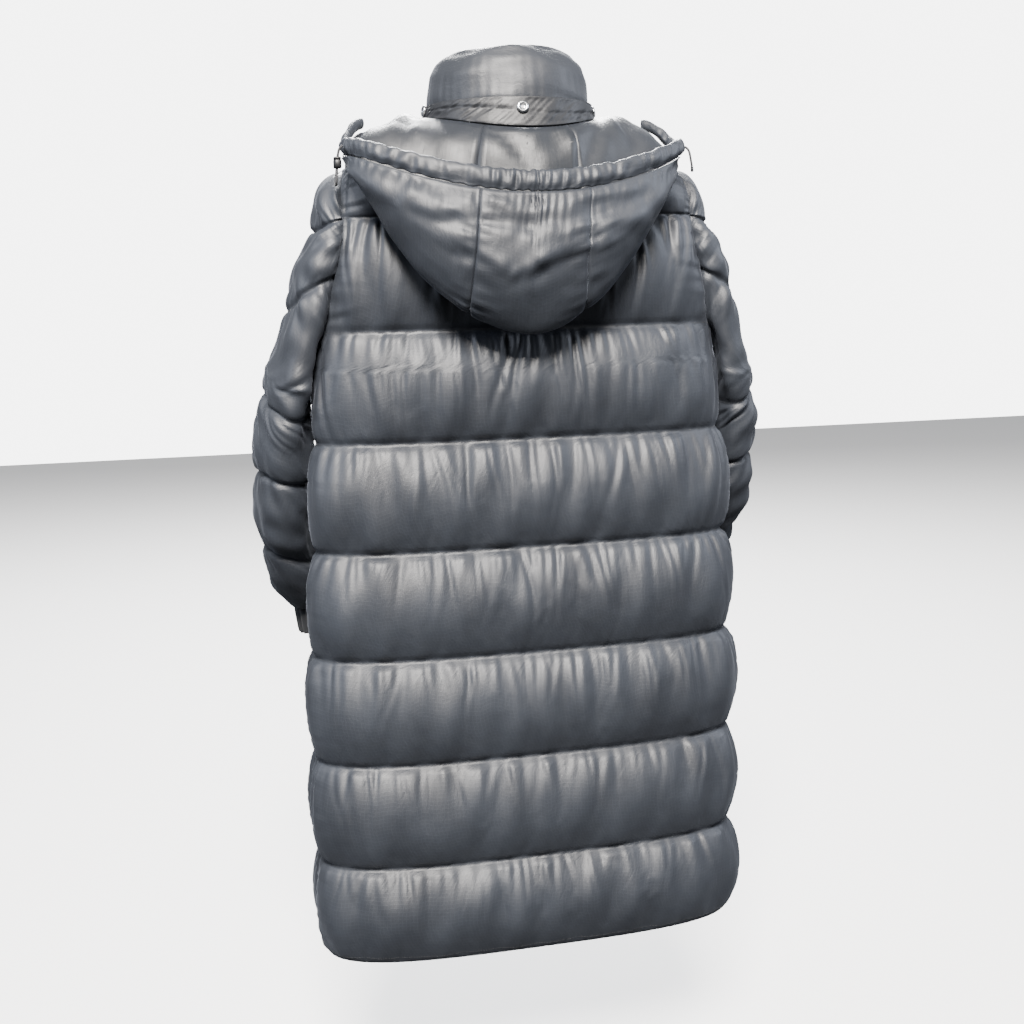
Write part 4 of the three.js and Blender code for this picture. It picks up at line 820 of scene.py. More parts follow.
def beside_body(point, depth, sewn):
    """Below the armhole's edge the sleeve lies beside the body's quilting."""
    near = eased((-255 - point[..., 2]) / 55)
    spare = point[..., 0] - body_side(point[..., 1], point[..., 2]) - depth
    kept = CONTACT * np.logaddexp(0, spare / CONTACT)
    moved = np.where((near > 0) & (spare < 8 * CONTACT) & ~sewn, near * (kept - spare), 0)
    return point + moved[..., None] * np.array([1.0, 0, 0])


def sleeve_grid():
    """Inner surface, its outward direction, the share between two lines, and the first closed row.
    The rows lean from the outer side to the body, as the quilting lines do."""
    joined = sum(SLEEVE_STEPS[:UNDERARM])
    outer_z, inner_z = (np.concatenate([np.linspace(line[k], line[k + 1], n, endpoint=False)
                                        for k, n in enumerate(SLEEVE_STEPS)] + [[line[-1]]])[:, None]
                        for line in (OUTER_LINES, INNER_LINES))
    sewn_rows = np.delete(np.concatenate([[0], np.cumsum(SLEEVE_STEPS)]), UNDERARM)
    row = np.arange(len(outer_z))
    k = np.clip(np.searchsorted(sewn_rows, row, side="right") - 1, 0, len(sewn_rows) - 2)
    share = np.where(row == row[-1], 1.0, (row - sewn_rows[k]) / (sewn_rows[k + 1] - sewn_rows[k]))
    across = np.broadcast_to(np.linspace(-1, 1, SLEEVE_COLUMNS + 1), (len(row), SLEEVE_COLUMNS + 1))
    z = mix(outer_z, inner_z, 0.5 - 0.5 * np.cos(np.pi * np.clip(np.abs(across) / 0.8, 0, 1)))
    cap = np.clip((z - SLEEVE[0, 0]) / (YOKE_LINE_Z - SLEEVE[0, 0]), 0, 1)
    below = sleeve_arc(np.maximum(np.minimum(z, YOKE_LINE_Z), UNDERARM_Z + 0.01), across)
    rounding = (SHOULDER_ROUND * np.sin(np.pi * cap) * np.cos(across * np.pi / 2))[..., None]
    over = mix(armhole_over_shoulder(across), below, cap[..., None]) + rounding * np.array([1, 0, 0.5])
    inner = np.where((cap < 1)[..., None], over, below)
    # Towards the underarm the open sections turn softly into closed ones.
    closing = np.where(z <= UNDERARM_Z + 0.01, 1, eased((-270 - z) / 40) * np.cos(across * np.pi / 2) ** 0.5)
    inner = mix(inner, sleeve_ring(z, across), closing[..., None])
    sewn = np.zeros(across.shape, bool)
    sewn[0] = True
    sewn[:joined + 1, [0, -1]] = True
    inner = beside_body(inner, SEAM_WALL + SLEEVE_CLEARANCE, sewn)
    stand = -grid_normals(inner)
    closing = -unit(np.cross(inner[joined:, 1] - inner[joined:, -2], np.gradient(inner[joined:, 0], axis=0)))
    stand[joined:, 0] = stand[joined:, -1] = closing
    stand[-1] = unit(inner[-1] - WRIST_MIDDLE)
    sideways = 0.9 * (1 - eased(np.arange(joined + 1) / joined))
    for column, side in ((0, -1), (-1, 1)):
        leaning = [np.ones(joined + 1), side * sideways, np.full(joined + 1, 0.25)]
        stand[:joined + 1, column] = unit(np.stack(leaning, -1))
    return inner, stand, share, joined, sewn, sewn_rows


for side, sign, seed in (("left", 1, 71), ("right", -1, 91)):
    inner, stand, share, joined, sewn, sewn_rows = sleeve_grid()
    first = run_lengths(inner)
    last = first[:, -1:] - first
    row_number = np.arange(len(inner))[:, None]
    near = np.where(row_number < joined, fill(first) * fill(last),
                    mix(fill(np.minimum(first, last)), 0.75, np.clip((row_number - joined) / 16, 0, 1)))
    pressed = mix(1, unsqueezed(inner), mix(1, np.abs(np.linspace(-1, 1, first.shape[1])),
                                            eased((row_number - joined + 12) / 24)))
    # Away from its sewn ends the sleeve's lines are drawn in less than the body's.
    shallow = 0.38 * eased(row_number / 14) * eased((len(inner) - 1 - row_number) / 14)
    height = (SLEEVE_CREST - SEAM_WALL) * mix(puff(share)[:, None], 1, shallow) * near * pressed
    outer = inner + stand * (SEAM_WALL + 0.9 * height)[..., None]
    lumps = uneven(seed, first / 34, run_lengths(inner, 0) / 60)
    outer += stand * (1.4 * np.minimum(height / 8, 1) * lumps)[..., None]
    outer = beside_body(outer, SLEEVE_CLEARANCE, sewn)
    mirror = np.array([sign, 1, 1])
    inner, outer, stand = inner * mirror, outer * mirror, stand * mirror
    held = sewn | (share[:, None] % 1 == 0) & (first >= 0)
    outer = inflate(outer, stand, held, pressure=2.2, excess=(0.08, 0.08, 0.05), cap=10, joined=joined)
    outer = beside_body(outer * mirror, SLEEVE_CLEARANCE, sewn) * mirror
    inner, outer, way = finer(inner), finer(outer), unit(finer(stand))
    fine_first = run_lengths(inner)
    fine_last = fine_first[:, -1:] - fine_first
    fine_share = np.repeat(share, 2)[:-1].copy()
    fine_share[1::2] = (share[:-1] + np.where(share[1:] > share[:-1], share[1:], 1)) / 2
    up, near_seam = run_lengths(outer, 0), np.minimum(fine_first, fine_last)
    lift = pleats(seed + 1, up, near_seam, 34, 11, 1.8)
    for k, (reach, depth, lean) in enumerate(SLEEVE_PLEATS):
        part = slice(2 * sewn_rows[k], 2 * sewn_rows[k + 1])
        part_share = fine_share[part, None]
        run, up_share = fine_first[part], part_share * SLEEVE_CHANNEL
        lift[part] += pleats(seed + 10 + k, run, up_share, reach, 11, depth, lean)
        lift[part] += pleats(seed + 20 + k, run, (1 - part_share) * SLEEVE_CHANNEL, 30, 12, 1.3, -lean)
    ends = np.minimum(fine_share, 1 - fine_share)[:, None] * SLEEVE_CHANNEL
    lift = (lift * fill(ends, 3) - 3 * bell(ends, 4.5)) * fill(near_seam, 3)
    lift[[0, -1]] = 0
    outer = outer + way * lift[..., None]
    outer[2 * joined:, -1] = outer[2 * joined:, 0]
    inner[2 * joined:, -1] = inner[2 * joined:, 0]
    sleeve = finish_piece(wall("sleeve_cloth_" + side, inner, outer, 2 * joined), "shell_cloth", nylon,
                          "sleeve_" + side + "_upper", "sleeve_" + side + "_lower")
    lines = 2 * sewn_rows[1:-1]
    finish_piece(stitched("sleeve_stitching_" + side, outer[lines], way[lines]), "shell_cloth", thread)


# Cuffs
# Rib-knit bands in polyester and elastane, sewn to the sleeves' ends and gripping the wrist.
CUFF_HEIGHT, CUFF_WALL, RIBS, RIB_DEPTH = 42, 4, 20, 2.6


def cuff_ring(share, across, spread):
    """The cuff continues the sleeve's last ring, a little narrower and more forward below."""
    to_out = WRIST[[3, 5, 4]] - WRIST_MIDDLE
    shrink = spread - 3 * share
    turn = across * np.pi
    drop = np.stack([-3 * share, -12 * share, -SEAM_GAP - CUFF_HEIGHT * share], -1)
    return (WRIST_MIDDLE + drop + to_out * ((1 + shrink / np.linalg.norm(to_out)) * np.cos(turn))[..., None]
            + np.array([0, 1.0, 0]) * ((WRIST[6] + shrink) * np.sin(turn))[..., None])


def knit_material():
    """Rib knit: columns of small V-shaped stitches, with painted shade between the ribs."""
    made, tree, shader = new_material("rib_knit", {"Roughness": 0.8, "Sheen Weight": 0.08})
    cloth = add_node(tree, "UVMap", {"uv_map": "cloth"}).outputs[0]
    rows, columns = (add_node(tree, "TexWave", {
        "bands_direction": axis, "Scale": scale, "Distortion": 0.0}, {"Vector": cloth}).outputs["Fac"]
        for axis, scale in (("Y", 220.0), ("X", 260.0)))
    loops = add_node(tree, "Math", {"operation": "MULTIPLY"}, {0: rows, 1: columns})
    fuzz = add_node(tree, "TexNoise", {"Scale": 900.0, "Detail": 3.0}, {"Vector": cloth}).outputs["Fac"]
    mixed = add_node(tree, "Math", {"operation": "MULTIPLY_ADD", 1: 0.5}, {0: loops.outputs[0], 2: fuzz})
    # The colour is darkest where the bump is lowest: painted shade in the knit's hollows.
    tree.links.new(shades(tree, mixed.outputs[0], "121418", "26292e", 0.3, 0.9), shader.inputs["Base Color"])
    bump = add_node(tree, "Bump", {"Strength": 0.5, "Distance": 0.0006}, {"Height": mixed.outputs[0]})
    tree.links.new(bump.outputs[0], shader.inputs["Normal"])
    return made


def by_rows(first, second):
    """Two grids: the first value changes from row to row, the second along each row."""
    return np.meshgrid(first, second, indexing="ij")


knit = knit_material()
share, across = by_rows(np.linspace(0, 1, 17), np.linspace(-1, 1, RIBS * 8 + 1))
rib = 0.5 + 0.5 * np.cos(across * np.pi * RIBS)
pulled_in = 1 - 0.5 * np.exp(-share / 0.1)
spread = CUFF_WALL + RIB_DEPTH * rib ** 0.7 * pulled_in - 0.5 * bell(share - 0.97, 0.06)
for side, sign in (("left", 1), ("right", -1)):
    mirror = np.array([sign, 1, 1])
    cuff = wall("cuff_knit_" + side, cuff_ring(share, across, 0.0) * mirror,
                cuff_ring(share, across, spread) * mirror, 0)
    finish_piece(cuff, "band_cloth", knit, "cuff_" + side)


# Collar
# A stand collar of the same taffeta, filled as one round ring and sewn to the neckline.
COLLAR_HEIGHT, COLLAR_THICKNESS, COLLAR_RISE, COLLAR_OUTSET = 86, 16.5, 10, 3


def neck_frame(angle):
    """The neckline's place and outward direction, and how far the collar leans in there."""
    base, beside = neck_point(angle), neck_point(angle + 0.01)
    outward = unit(np.stack([base[..., 1] - beside[..., 1], beside[..., 0] - base[..., 0], 0 * angle], -1))
    return base, outward, mix(3, 12, (1 + np.cos(angle)) / 2)


def collar_point(angle, turn):
    """A full oval section at each place of the neckline, thin at its two front ends."""
    base, outward, lean = neck_frame(angle)
    near = np.clip((NECK_END - np.abs(angle)) * NECK_HALF_WIDTH / 26, 0, 1)
    thickness = COLLAR_THICKNESS * mix(0.22, 1, np.sqrt(1 - (1 - near) ** 2))
    c, s = np.cos(turn), np.sin(turn)
    rounder = np.clip(s, 0, 1)
    out = thickness * np.sign(c) * np.abs(c) ** mix(0.8, 1.1, rounder) - 4 * rounder ** 2
    rise = COLLAR_HEIGHT / 2 * np.sign(s) * np.abs(s) ** mix(0.8, 1.1, rounder) * mix(0.9, 1, near)
    return (base + outward * (COLLAR_OUTSET + out - lean * rise / COLLAR_HEIGHT)[..., None]
            + np.array([0, 0, 1.0]) * (COLLAR_RISE + COLLAR_HEIGHT / 2 + rise)[..., None])


def tube(name, rings):
    """A closed solid from rings of points, with a fan over each end; its UVs are lengths in metres."""
    count, size = rings.shape[:2]
    points = np.concatenate([rings.reshape(-1, 3), rings[[0, -1]].mean(1)])
    closed = np.concatenate([rings, rings[:, :1]], 1)
    lengths = np.stack([run_lengths(closed, 1), run_lengths(closed, 0)], -1) / 1000
    index = np.pad(np.arange(count * size).reshape(count, size), ((0, 0), (0, 1)), "wrap")
    sides = quads(index)
    middles = count * size + np.repeat([0, 1], size)
    fans = np.stack([middles, np.append(index[0, 1:], index[-1, :-1]),
                     np.append(index[0, :-1], index[-1, 1:])], -1)
    fan_lengths = np.repeat(lengths[[0, -1], :-1].reshape(-1, 2), 3, 0)
    uvs = np.concatenate([quads(lengths).reshape(-1, 2), fan_lengths])
    piece = solid(name, points, sides.tolist() + fans.tolist())
    piece.data.uv_layers.new(name="cloth").data.foreach_set("uv", uvs.reshape(-1))
    if inside_out(points, sides, fans):
        piece.data.flip_normals()
    return piece


# The collar's taffeta is a copy of the shell's with slightly darker colours: painted shade.
shaded_collar_nylon = cloth_material("collar_taffeta_painted_shade", "1f2227", "2b2e34", 0.5, 0.1)
angle, turn = by_rows(np.linspace(-NECK_END, NECK_END, 141), np.linspace(-np.pi / 2, 1.5 * np.pi, 45))
rings = collar_point(angle, turn)
stand = grid_normals(rings)
stand *= np.sign(np.sum(stand * (rings - rings.mean(1, keepdims=True))))
length = angle * NECK_HALF_WIDTH
settled = rings + stand * (0.8 * uneven(111, length / 70, turn * 1.3) - 0.6)[..., None]
settled[:, -1] = settled[:, 0]
foot = np.abs(np.angle(np.exp(1j * (turn + np.pi / 2)))) < 0.35
held = foot | (np.abs(angle) > NECK_END - 0.03)
settled = inflate(settled, stand, held, pressure=1.6, excess=(0.06, 0.06, 0.02), cap=5, joined=0)
settled = finer(settled)
fine_length, fine_turn = finer(length), finer(turn)
fine_stand = unit(finer(stand))
from_foot = np.abs(np.angle(np.exp(1j * (fine_turn + np.pi / 2)))) * 30
settled += fine_stand * (1.1 * np.exp(-from_foot / 22) * fill(from_foot, 4)
                         * uneven(112, fine_length / 14, fine_turn * 0.5))[..., None]
collar = finish_piece(tube("collar_ring", settled[:, :-1]), "collar_cloth", shaded_collar_nylon, "collar")


# Hood
# Three panels of the same taffeta, unfilled and lined with satin, sewn along two seams; it hangs open
# down the back as a deep bag. Its folds are placed one by one from the photograph.
HOOD = np.array([  # at, half width, middle y, back y, front y, turn, spread, back z, side z, front z, swing
    (0.0, 111, -12, 100, -118, 104, 1.0, -19, 2, 4, 0), (0.18, 142, 8, 120, -84, 112, 1.12, -66, 2, -3, 3),
    (0.42, 184, 42, 126, -70, 118, 1.26, -176, -18, -18, 10),
    (0.64, 208, 66, 146, -54, 120, 1.36, -266, -58, -23, 18),
    (0.84, 213, 70, 192, -50, 122, 1.42, -182, -62, -20, 18),
    (1.0, 213, 66, 178, -52, 122, 1.45, -102, -50, -12, 10)], float)
HOOD_SEAM, HOOD_SHELL, HOOD_LINING, LAYER_GAP = 0.27, 5, 1.6, 0.3
HOOD_ACROSS, HOOD_UP = 330, 520  # about how many millimetres u and v stand for

# Each fold is a line of (u, v) places with its half width and its height in millimetres: above 0 it
# stands out of the bag, below 0 it sinks in. u runs over the hood from the right, v from neck to rim.
BAG_FOLDS = [
    ([(0.66, 0.91), (0.54, 0.90), (0.45, 0.93), (0.38, 0.92)], 17, 4.2),
    ([(0.62, 0.85), (0.52, 0.86), (0.46, 0.89)], 17, -3),
    ([(0.48, 0.93), (0.41, 0.93), (0.33, 0.96), (0.28, 0.96)], 9, 2.5),
    ([(0.48, 0.89), (0.41, 0.90), (0.34, 0.93), (0.28, 0.92)], 7, 3),
    ([(0.50, 0.86), (0.42, 0.87), (0.34, 0.90), (0.29, 0.89)], 9, -2.5),
    ([(0.34, 0.86), (0.28, 0.885)], 7, 2.2),
    ([(0.36, 0.80), (0.28, 0.82)], 9, -1.9),
    ([(0.24, 0.975), (0.16, 0.955), (0.06, 0.955), (-0.08, 0.96), (-0.19, 0.955)], 10, 3.8),
    ([(0.22, 0.93), (0.12, 0.92), (0.0, 0.925), (-0.12, 0.93)], 12, -3.4),
    ([(0.25, 0.89), (0.14, 0.905), (0.03, 0.89)], 10, 2.1),
    ([(-0.05, 0.93), (-0.14, 0.90), (-0.25, 0.89)], 9, 2.5),
    ([(0.10, 0.82), (0.0, 0.83), (-0.09, 0.85), (-0.25, 0.87)], 9, 4.2),
    ([(0.12, 0.795), (0.0, 0.80), (-0.12, 0.82), (-0.24, 0.83)], 10, -3.4),
    ([(0.23, 0.84), (0.16, 0.815), (0.10, 0.80)], 9, 3.4),
    ([(0.24, 0.80), (0.15, 0.78), (0.04, 0.79), (-0.10, 0.80)], 13, 2.5),
    ([(-0.21, 0.91), (-0.29, 0.895), (-0.36, 0.89), (-0.44, 0.86)], 9, 3.8),
    ([(-0.22, 0.885), (-0.30, 0.87), (-0.38, 0.865)], 7, -3),
    ([(-0.21, 0.86), (-0.30, 0.85), (-0.36, 0.85)], 9, 3),
    ([(-0.22, 0.98), (-0.32, 0.975), (-0.42, 0.96), (-0.55, 0.95)], 12, 3.4),
    ([(-0.30, 0.94), (-0.42, 0.925), (-0.55, 0.92)], 12, -3),
    ([(-0.60, 0.97), (-0.52, 0.86), (-0.44, 0.78)], 23, 3.4),
    ([(-0.50, 0.95), (-0.46, 0.86), (-0.40, 0.76)], 14, -2.5),
    ([(-0.22, 0.74), (-0.33, 0.72), (-0.43, 0.74)], 20, 2.5),
    ([(0.34, 0.74), (0.26, 0.72), (0.10, 0.74)], 23, 2.5),
    ([(0.60, 0.80), (0.48, 0.76), (0.36, 0.72)], 26, 2.5),
    ([(0.85, 0.90), (0.72, 0.84), (0.60, 0.76)], 20, -2.5),
    ([(-0.86, 0.90), (-0.74, 0.84), (-0.62, 0.76)], 20, -2.5)]
LINING_FOLDS = [
    ([(0.62, 0.03), (0.50, 0.12), (0.40, 0.20), (0.34, 0.28)], 14, 3.6),
    ([(0.50, 0.02), (0.42, 0.10), (0.33, 0.17)], 14, -3),
    ([(0.40, 0.03), (0.34, 0.11), (0.28, 0.20)], 10, 2.7),
    ([(0.24, 0.04), (0.17, 0.12), (0.06, 0.20)], 12, 3.9),
    ([(0.20, 0.02), (0.10, 0.10), (-0.02, 0.19)], 12, -3.6),
    ([(0.10, 0.02), (-0.02, 0.10), (-0.10, 0.18)], 12, 3.6),
    ([(-0.13, 0.02), (-0.16, 0.08), (-0.19, 0.15)], 8, -3.6),
    ([(-0.22, 0.16), (-0.30, 0.09), (-0.42, 0.04), (-0.55, 0.02)], 12, 3.6),
    ([(-0.26, 0.22), (-0.36, 0.17), (-0.46, 0.13), (-0.58, 0.08)], 12, -3.3),
    ([(-0.34, 0.25), (-0.46, 0.19), (-0.60, 0.12)], 12, 3),
    ([(0.66, 0.06), (0.60, 0.18), (0.53, 0.30)], 8, 3.6),
    ([(0.72, 0.06), (0.67, 0.18), (0.60, 0.30)], 8, -3.6),
    ([(0.78, 0.08), (0.74, 0.20), (0.66, 0.34)], 8, 3.6),
    ([(-0.62, 0.04), (-0.60, 0.16), (-0.54, 0.30)], 10, 3.6),
    ([(-0.70, 0.05), (-0.67, 0.18), (-0.60, 0.32)], 8, -3.6),
    ([(-0.78, 0.06), (-0.76, 0.20), (-0.68, 0.34)], 10, 3)]


def hood_point(u, v):
    """The hood's middle surface: u from -1 on the right to 1 on the left, v from the neck to the rim."""
    curve = along(HOOD, v)
    half, mid, back, front, end, spread, back_z, side_z, front_z, swing = np.moveaxis(curve[..., 1:], -1, 0)
    end = np.radians(end)
    turn = end * np.abs(u) ** spread
    c, s = np.cos(turn), np.sin(turn)
    x = np.sign(u) * half * s + mix(swing, 8 * eased(2 * v), u * u)
    y = mid + np.where(turn < np.pi / 2, back - mid, mid - front) * c
    z = np.where(turn < np.pi / 2, mix(back_z, side_z, s * s),
                 mix(side_z, front_z, eased((turn - np.pi / 2) / (end - np.pi / 2))))
    return np.stack([x, y, z], -1)


def hood_frame(u, v):
    """The hood's directions along, up towards the rim, and into the bag."""
    step = 0.004
    along_it = unit(hood_point(np.minimum(u + step, 1), v) - hood_point(np.maximum(u - step, -1), v))
    upwards = unit(hood_point(u, np.minimum(v + step, 1)) - hood_point(u, np.maximum(v - step, 0)))
    return along_it, upwards, unit(np.cross(along_it, upwards))


def folded(points, u_v_lines):
    """The sum of soft folds along lines on the hood: each is height * exp(-(distance / width)^2),
    uneven along its length and fading at its ends."""
    total = np.zeros(points.shape[:-1])
    for number, (line, width, height) in enumerate(u_v_lines):
        u, v = np.array(line).T
        t = np.linspace(0, len(u) - 1, 40)
        places = hood_point(np.interp(t, np.arange(len(u)), u), np.interp(t, np.arange(len(u)), v))
        away = np.linalg.norm(points[..., None, :] - places, axis=-1)
        nearest = np.argmin(away, -1)
        ends = np.sin(np.pi * (0.08 + 0.84 * nearest / 39)) ** 0.7
        wave = 1 + 0.25 * np.sin(number * 1.7 + nearest * 0.35)
        total += height * ends * wave * bell(away.min(-1), width)
    return total


def hood_rise(u, v, points):
    """How far the hood's cloth stands out of its middle surface, away from the bag's inside."""
    edge = eased(v / 0.05) * eased((1 - v) / 0.03)
    across, upwards = u * HOOD_ACROSS, v * HOOD_UP
    soft = 1.3 * uneven(131, across / 150, upwards / 120) + 0.1 * uneven(132, across / 50, upwards / 60)
    gathers = 1.6 * np.exp(-(1 - v) * HOOD_UP / 22) * uneven(133, across / 13, upwards / 90)
    neck_gathers = 2.0 * np.exp(-v * 400 / 30) * uneven(134, across / 17, upwards / 110)
    rise = soft + folded(points, BAG_FOLDS) - folded(points, LINING_FOLDS) + gathers + neck_gathers
    for seam in (-HOOD_SEAM, HOOD_SEAM):
        away = np.abs(u - seam) * HOOD_ACROSS
        puckers = uneven(135, upwards / 15, across / 80)
        rise += -2.6 * np.exp(-away / 5) + 1.5 * np.exp(-away / 16) * puckers * fill(away, 3)
    corner = np.clip((np.abs(u) - 0.86) / 0.14, 0, 1)
    return rise * edge * (1 - 0.8 * corner)


def hood_layer(name, first, last, columns, near, far):
    """One panel of one cloth of the hood: a thin shell between two depths into the bag."""
    v, u = by_rows(np.linspace(0, 1, 113), np.linspace(first, last, columns + 1))
    along_it, _, into = hood_frame(u, v)
    points = hood_point(u, v)
    rise = hood_rise(u, v, points)
    for column, gap in ((0, SEAM_GAP / 2), (-1, -SEAM_GAP / 2)):
        points[:, column] += along_it[:, column] * gap
    return wall(name, points + into * (far - rise)[..., None], points + into * (near - rise)[..., None])


satin = cloth_material("lining_satin", "191c20", "25282e", 0.46, 0.08, 0.3, 5.0, 0.15)
PANELS = [("right", -1, -HOOD_SEAM, 84), ("centre", -HOOD_SEAM, HOOD_SEAM, 56), ("left", HOOD_SEAM, 1, 84)]
for side, first, last, columns in PANELS:
    hood = hood_layer("hood_shell_" + side, first, last, columns, -HOOD_SHELL + 2.6, 0)
    finish_piece(hood, "shell_cloth", nylon, "hood_" + side)
    lining = hood_layer("hood_satin_" + side, first, last, columns, LAYER_GAP, LAYER_GAP + HOOD_LINING)
    finish_piece(lining, "lining_satin", satin, "hood_lining_" + side)


# Hood rim
# The hood's edge is turned over the drawcord into a tunnel, and gathered on it into small pleats.
RIM_REACH = 0.985  # where along u the tunnel ends


def rim_rings(count, size):
    """Rings round the tunnel, drawn into uneven gathers along it."""
    u = np.linspace(-RIM_REACH, RIM_REACH, count)[:, None]
    turn = 2 * np.pi * np.arange(size) / size
    v = np.ones_like(u)
    along_it, upwards, _ = hood_frame(u, v)
    upwards = unit(mix(upwards, np.array([0, 0, 1.0]), np.abs(u)[..., None]))
    into = unit(np.cross(along_it, upwards))
    half = mix(13, 7, np.abs(u) ** 3)
    run = u * HOOD_ACROSS
    middle = (hood_point(u, v) + upwards * (mix(0.5, 3.4, u * u) + half)[..., None]
              + into * (LAYER_GAP + HOOD_LINING - HOOD_SHELL) / 2)
    gather = uneven(141, run / 12, turn * 0.35) * 0.75 + uneven(142, run / 26, turn * 0.3) * 0.6
    ends = np.clip((1 - np.abs(u) / RIM_REACH) * 12, 0, 1)
    # The stitched line below the cord draws the tunnel in.
    drawn_in = sum(1.6 * bell(np.angle(np.exp(1j * (turn + at))), 0.3) for at in (2.2, 0.94))
    thick = 6 * (0.86 + 0.16 * gather * ends) - drawn_in * ends
    tall = half * (0.97 + 0.05 * uneven(143, run / 20, 0 * run) * ends)
    return (middle + into * (thick * np.cos(turn))[..., None] + upwards * (tall * np.sin(turn))[..., None])


rim = finish_piece(tube("hood_rim_tunnel", rim_rings(421, 26)), "shell_cloth", nylon, "hood_rim")


# Hood band
# A band of dark satin between the collar's foot and the hood, with small slanting gathers.
BAND_TOP_Z, BAND_REACH, BAND_WALL, BAND_RADIUS = 20, 98, 2.6, 105
SNAP_TURNS, SNAP_HEIGHT = {"right": -84, "centre": 3, "left": 84}, 0.62


def band_point(angle, height):
    """Evenly from the hood's neck edge, at height 0, to the collar's foot, at height 1."""
    base, outward, lean = neck_frame(angle)
    top = base + outward * (COLLAR_OUTSET + COLLAR_THICKNESS + lean / 4 + 1.2)[..., None]
    top[..., 2] = BAND_TOP_Z
    lower = hood_point(angle / math.radians(104), 0 * angle) + np.array([0, 0, 2.3])
    return mix(lower, top, height[..., None])


def band_frame(angle, height):
    """The band's directions along, up, and out."""
    along_it = unit(band_point(angle + 0.01, height) - band_point(angle - 0.01, height))
    upwards = unit(band_point(angle, 0 * height + 1) - band_point(angle, 0 * height))
    return along_it, upwards, unit(np.cross(upwards, along_it))


band_satin = cloth_material("band_satin", "131417", "1d1f23", 0.5, 0.06, 0.3, 5.0, 0.12)
height, angle = by_rows(np.linspace(0, 1, 33), np.radians(BAND_REACH) * np.linspace(-1, 1, 241))
outward = band_frame(angle, height)[2]
run = angle * BAND_RADIUS
stronger = 0.45 + 0.55 * eased((angle - 0.1) / 0.4)
creases = (0.5 * uneven(151, (run + 38 * height) / 13, height * 0.7) * stronger
           + 0.5 * uneven(152, run / 40, height * 1.2))
middle_crease = -1.3 * bell(height - 0.5 - 0.12 * np.sin(angle * 2.1), 0.1)
rise = (creases + middle_crease) * eased(height / 0.12) * eased((1 - height) / 0.12)
flat_spots = 1 - sum(np.exp(-(((angle - math.radians(at)) * BAND_RADIUS / 11) ** 2
                              + ((height - SNAP_HEIGHT) * 34 / 11) ** 2)) for at in SNAP_TURNS.values())
rise = np.minimum(rise * np.clip(flat_spots, 0, 1), 0.5)
face = band_point(angle, height)
band = wall("hood_band_satin", face + outward * (rise + 0.3)[..., None],
            face + outward * (rise + BAND_WALL - 0.6)[..., None])
finish_piece(band, "band_cloth", band_satin, "hood_band")


# Ring snaps
# Plated brass ring snaps, pressed through the band: one at the back, one near each front end.
for side, at in SNAP_TURNS.items():
    angle = np.array(math.radians(at))
    spot = np.array(SNAP_HEIGHT)
    along_it, upwards, outward = band_frame(angle, spot)
    place = band_point(angle, spot) + outward * (BAND_WALL + 0.6)
    profile = [(0.2, 0.0), (6.9, 0.0), (7.4, 0.35), (7.5, 1.0), (7.2, 1.9), (6.6, 2.6), (5.8, 2.95),
               (4.9, 3.0), (4.2, 2.75), (3.7, 2.2), (3.3, 1.5), (3.0, 1.2), (1.6, 1.15), (0.2, 1.25)]
    snap = revolved("ring_snap_" + side, profile, place, along_it, outward, 48)
    finish_piece(snap, "snap_metal", bright_metal, "snap_" + side)


# Cord toggle
# A moulded black cord lock: a barrel that both strands of the loop run through, with its push button.
LOCK_SIZE, LOCK_SIDES = (9.6, 15.6), 40


def oblong(width, depth):
    """A rounded oblong, between an ellipse and a rectangle: a superellipse of power 3.4."""
    turn = 2 * np.pi * np.arange(LOCK_SIDES) / LOCK_SIDES
    c, s = np.cos(turn), np.sin(turn)
    return np.stack([width / 2 * np.sign(c) * np.abs(c) ** (2 / 3.4),
                     depth / 2 * np.sign(s) * np.abs(s) ** (2 / 3.4)], -1)


def lock_body(name, middle, sections, slot):
    """A barrel of rounded oblong sections (scale, height), with a straight oblong hole down it."""
    low, high = sections[0][1], sections[-1][1]
    hole = [(1.1, high), (1.0, high - 0.6), (1.0, low + 0.6), (1.1, low)]
    rings = np.array([np.column_stack([oblong(*size) * s, np.full(LOCK_SIDES, h)])
                      for size, steps in ((LOCK_SIZE, sections), (slot, hole)) for s, h in steps])
    index = np.arange(len(rings) * LOCK_SIDES).reshape(-1, LOCK_SIDES)
    return solid(name, rings + np.array(middle), quads(np.pad(index, ((0, 1), (0, 1)), "wrap")).tolist())


def plastic_material():
    """Moulded acetal: nearly black, with a faint grain from the mould."""
    made, tree, shader = new_material("moulded_black_plastic", {"Specular IOR Level": 0.5})
    place = add_node(tree, "TexCoord").outputs["Object"]
    grain = add_node(tree, "TexNoise", {"Scale": 1800.0, "Detail": 3.0}, {"Vector": place}).outputs["Fac"]
    tree.links.new(shades(tree, grain, "0b0c0e", "17181b", 0.3, 0.7), shader.inputs["Base Color"])
    rough = add_node(tree, "MapRange", {"To Min": 0.32, "To Max": 0.5}, {"Value": grain})
    tree.links.new(rough.outputs[0], shader.inputs["Roughness"])
    bump = add_node(tree, "Bump", {"Strength": 0.2, "Distance": 0.0001}, {"Height": grain})
    tree.links.new(bump.outputs[0], shader.inputs["Normal"])
    return made


plastic = plastic_material()
lock = lock_body("drawcord_lock", (234.3, 82.8, -58), [
    (0.84, -6.5), (0.95, -6.1), (1.0, -5.2), (1.0, 2.2), (0.97, 2.6), (0.86, 2.8), (0.86, 3.2), (0.92, 3.4),
    (0.93, 5.6), (0.88, 6.2), (0.78, 6.5)], (5.2, 11.8))
finish_piece(lock, "toggle_plastic", plastic, "drawcord_toggle")


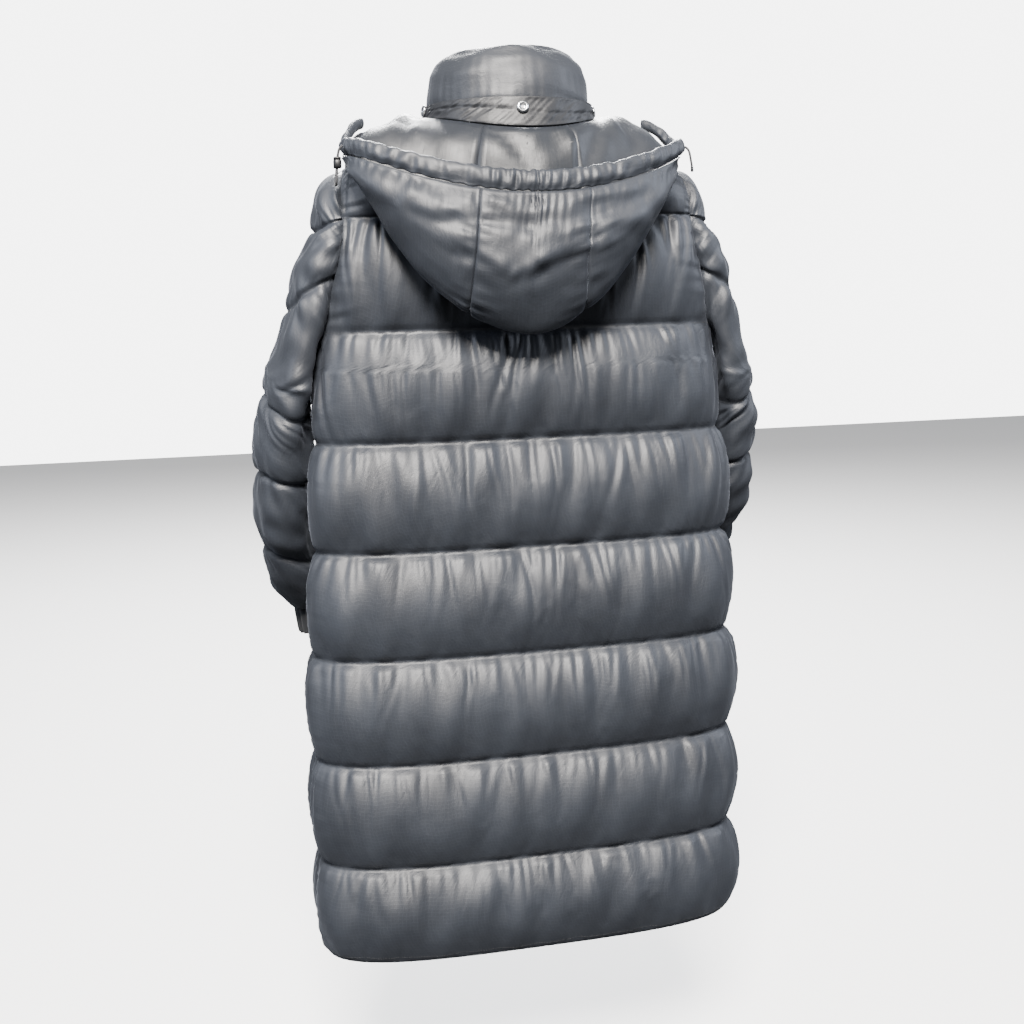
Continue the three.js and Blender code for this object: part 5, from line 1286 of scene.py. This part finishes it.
# Zip
# A closed nylon coil zip down the centre front: woven tapes, the moulded coil and one cast slider.
def zip_edge_y(z):
    """How far forward the fronts' edges and then the collar's ends lie at a height."""
    rows = panel_rows()
    edge = front_surface(rows[:, 0], rows[:, 2], np.ones(len(rows)))
    lower = np.interp(z, edge[:, 2], edge[:, 1]) - SEAM_WALL / 2
    return np.where(z > -58, NECK_FRONT_Y - COLLAR_OUTSET + 3 * (z + 15) / COLLAR_HEIGHT, lower)


def tape_material():
    """Woven polyester zip tape in herringbone, dark grey."""
    made, tree, shader = new_material("woven_zip_tape", {"Roughness": 0.7, "Sheen Weight": 0.2})
    cloth = add_node(tree, "UVMap", {"uv_map": "cloth"}).outputs[0]
    ridges = add_node(tree, "TexWave", {"bands_direction": "DIAGONAL", "Scale": 520.0, "Distortion": 0.4},
                      {"Vector": cloth}).outputs["Fac"]
    tree.links.new(shades(tree, ridges, "1d1f23", "33363b"), shader.inputs["Base Color"])
    bump = add_node(tree, "Bump", {"Strength": 0.5, "Distance": 0.0003}, {"Height": ridges})
    tree.links.new(bump.outputs[0], shader.inputs["Normal"])
    return made


ZIP_ABOVE_HEM, TOOTH = 14, 2.1
tape_cloth = tape_material()
z, across = by_rows(np.linspace(HEM_Z + ZIP_ABOVE_HEM, 17.6, 241), np.linspace(0, 1, 9))
for side, sign in (("left", 1), ("right", -1)):
    x = sign * mix(1.4, 7.7, across)
    front_face = np.stack([x, zip_edge_y(z) - 0.7, z], -1)
    back_face = np.stack([x, zip_edge_y(z) + 0.7, z], -1)
    tape = wall("zip_tape_cloth_" + side, back_face, front_face)
    finish_piece(tape, "band_cloth", tape_cloth, "zip_tape_" + side)

dark_metal = metal_material("dark_zip_metal", "4a4d52", "6b6f76", 0.32)
count = int((6.2 - HEM_Z - ZIP_ABOVE_HEM) / TOOTH)
turns = np.arange(count * 6 + 1) / 6
z = HEM_Z + ZIP_ABOVE_HEM + 0.8 + turns * TOOTH
path = np.stack([np.sin(2 * np.pi * turns), zip_edge_y(z) - 0.15 + 0.85 * np.cos(2 * np.pi * turns), z], -1)
way = unit(np.gradient(path, axis=0))
inward = unit(np.cross(way, np.array([0.0, 0, 1.0])))
beside = np.cross(way, inward)
corner = 2 * np.pi * np.arange(5) / 5
coil_rings = path[:, None] + 0.34 * (inward[:, None] * np.cos(corner)[:, None]
                                     + beside[:, None] * np.sin(corner)[:, None])
coil = finish_piece(tube("zip_coil_teeth", coil_rings), "zip_metal", None, "zip_coil")
coil.data.materials.append(plastic)
for name in ("zip_slider", "zip_slider_bridge", "zip_pull_tab"):
    node = bpy.data.objects[name]
    node.data.materials.clear()
    node.data.materials.append(dark_metal)
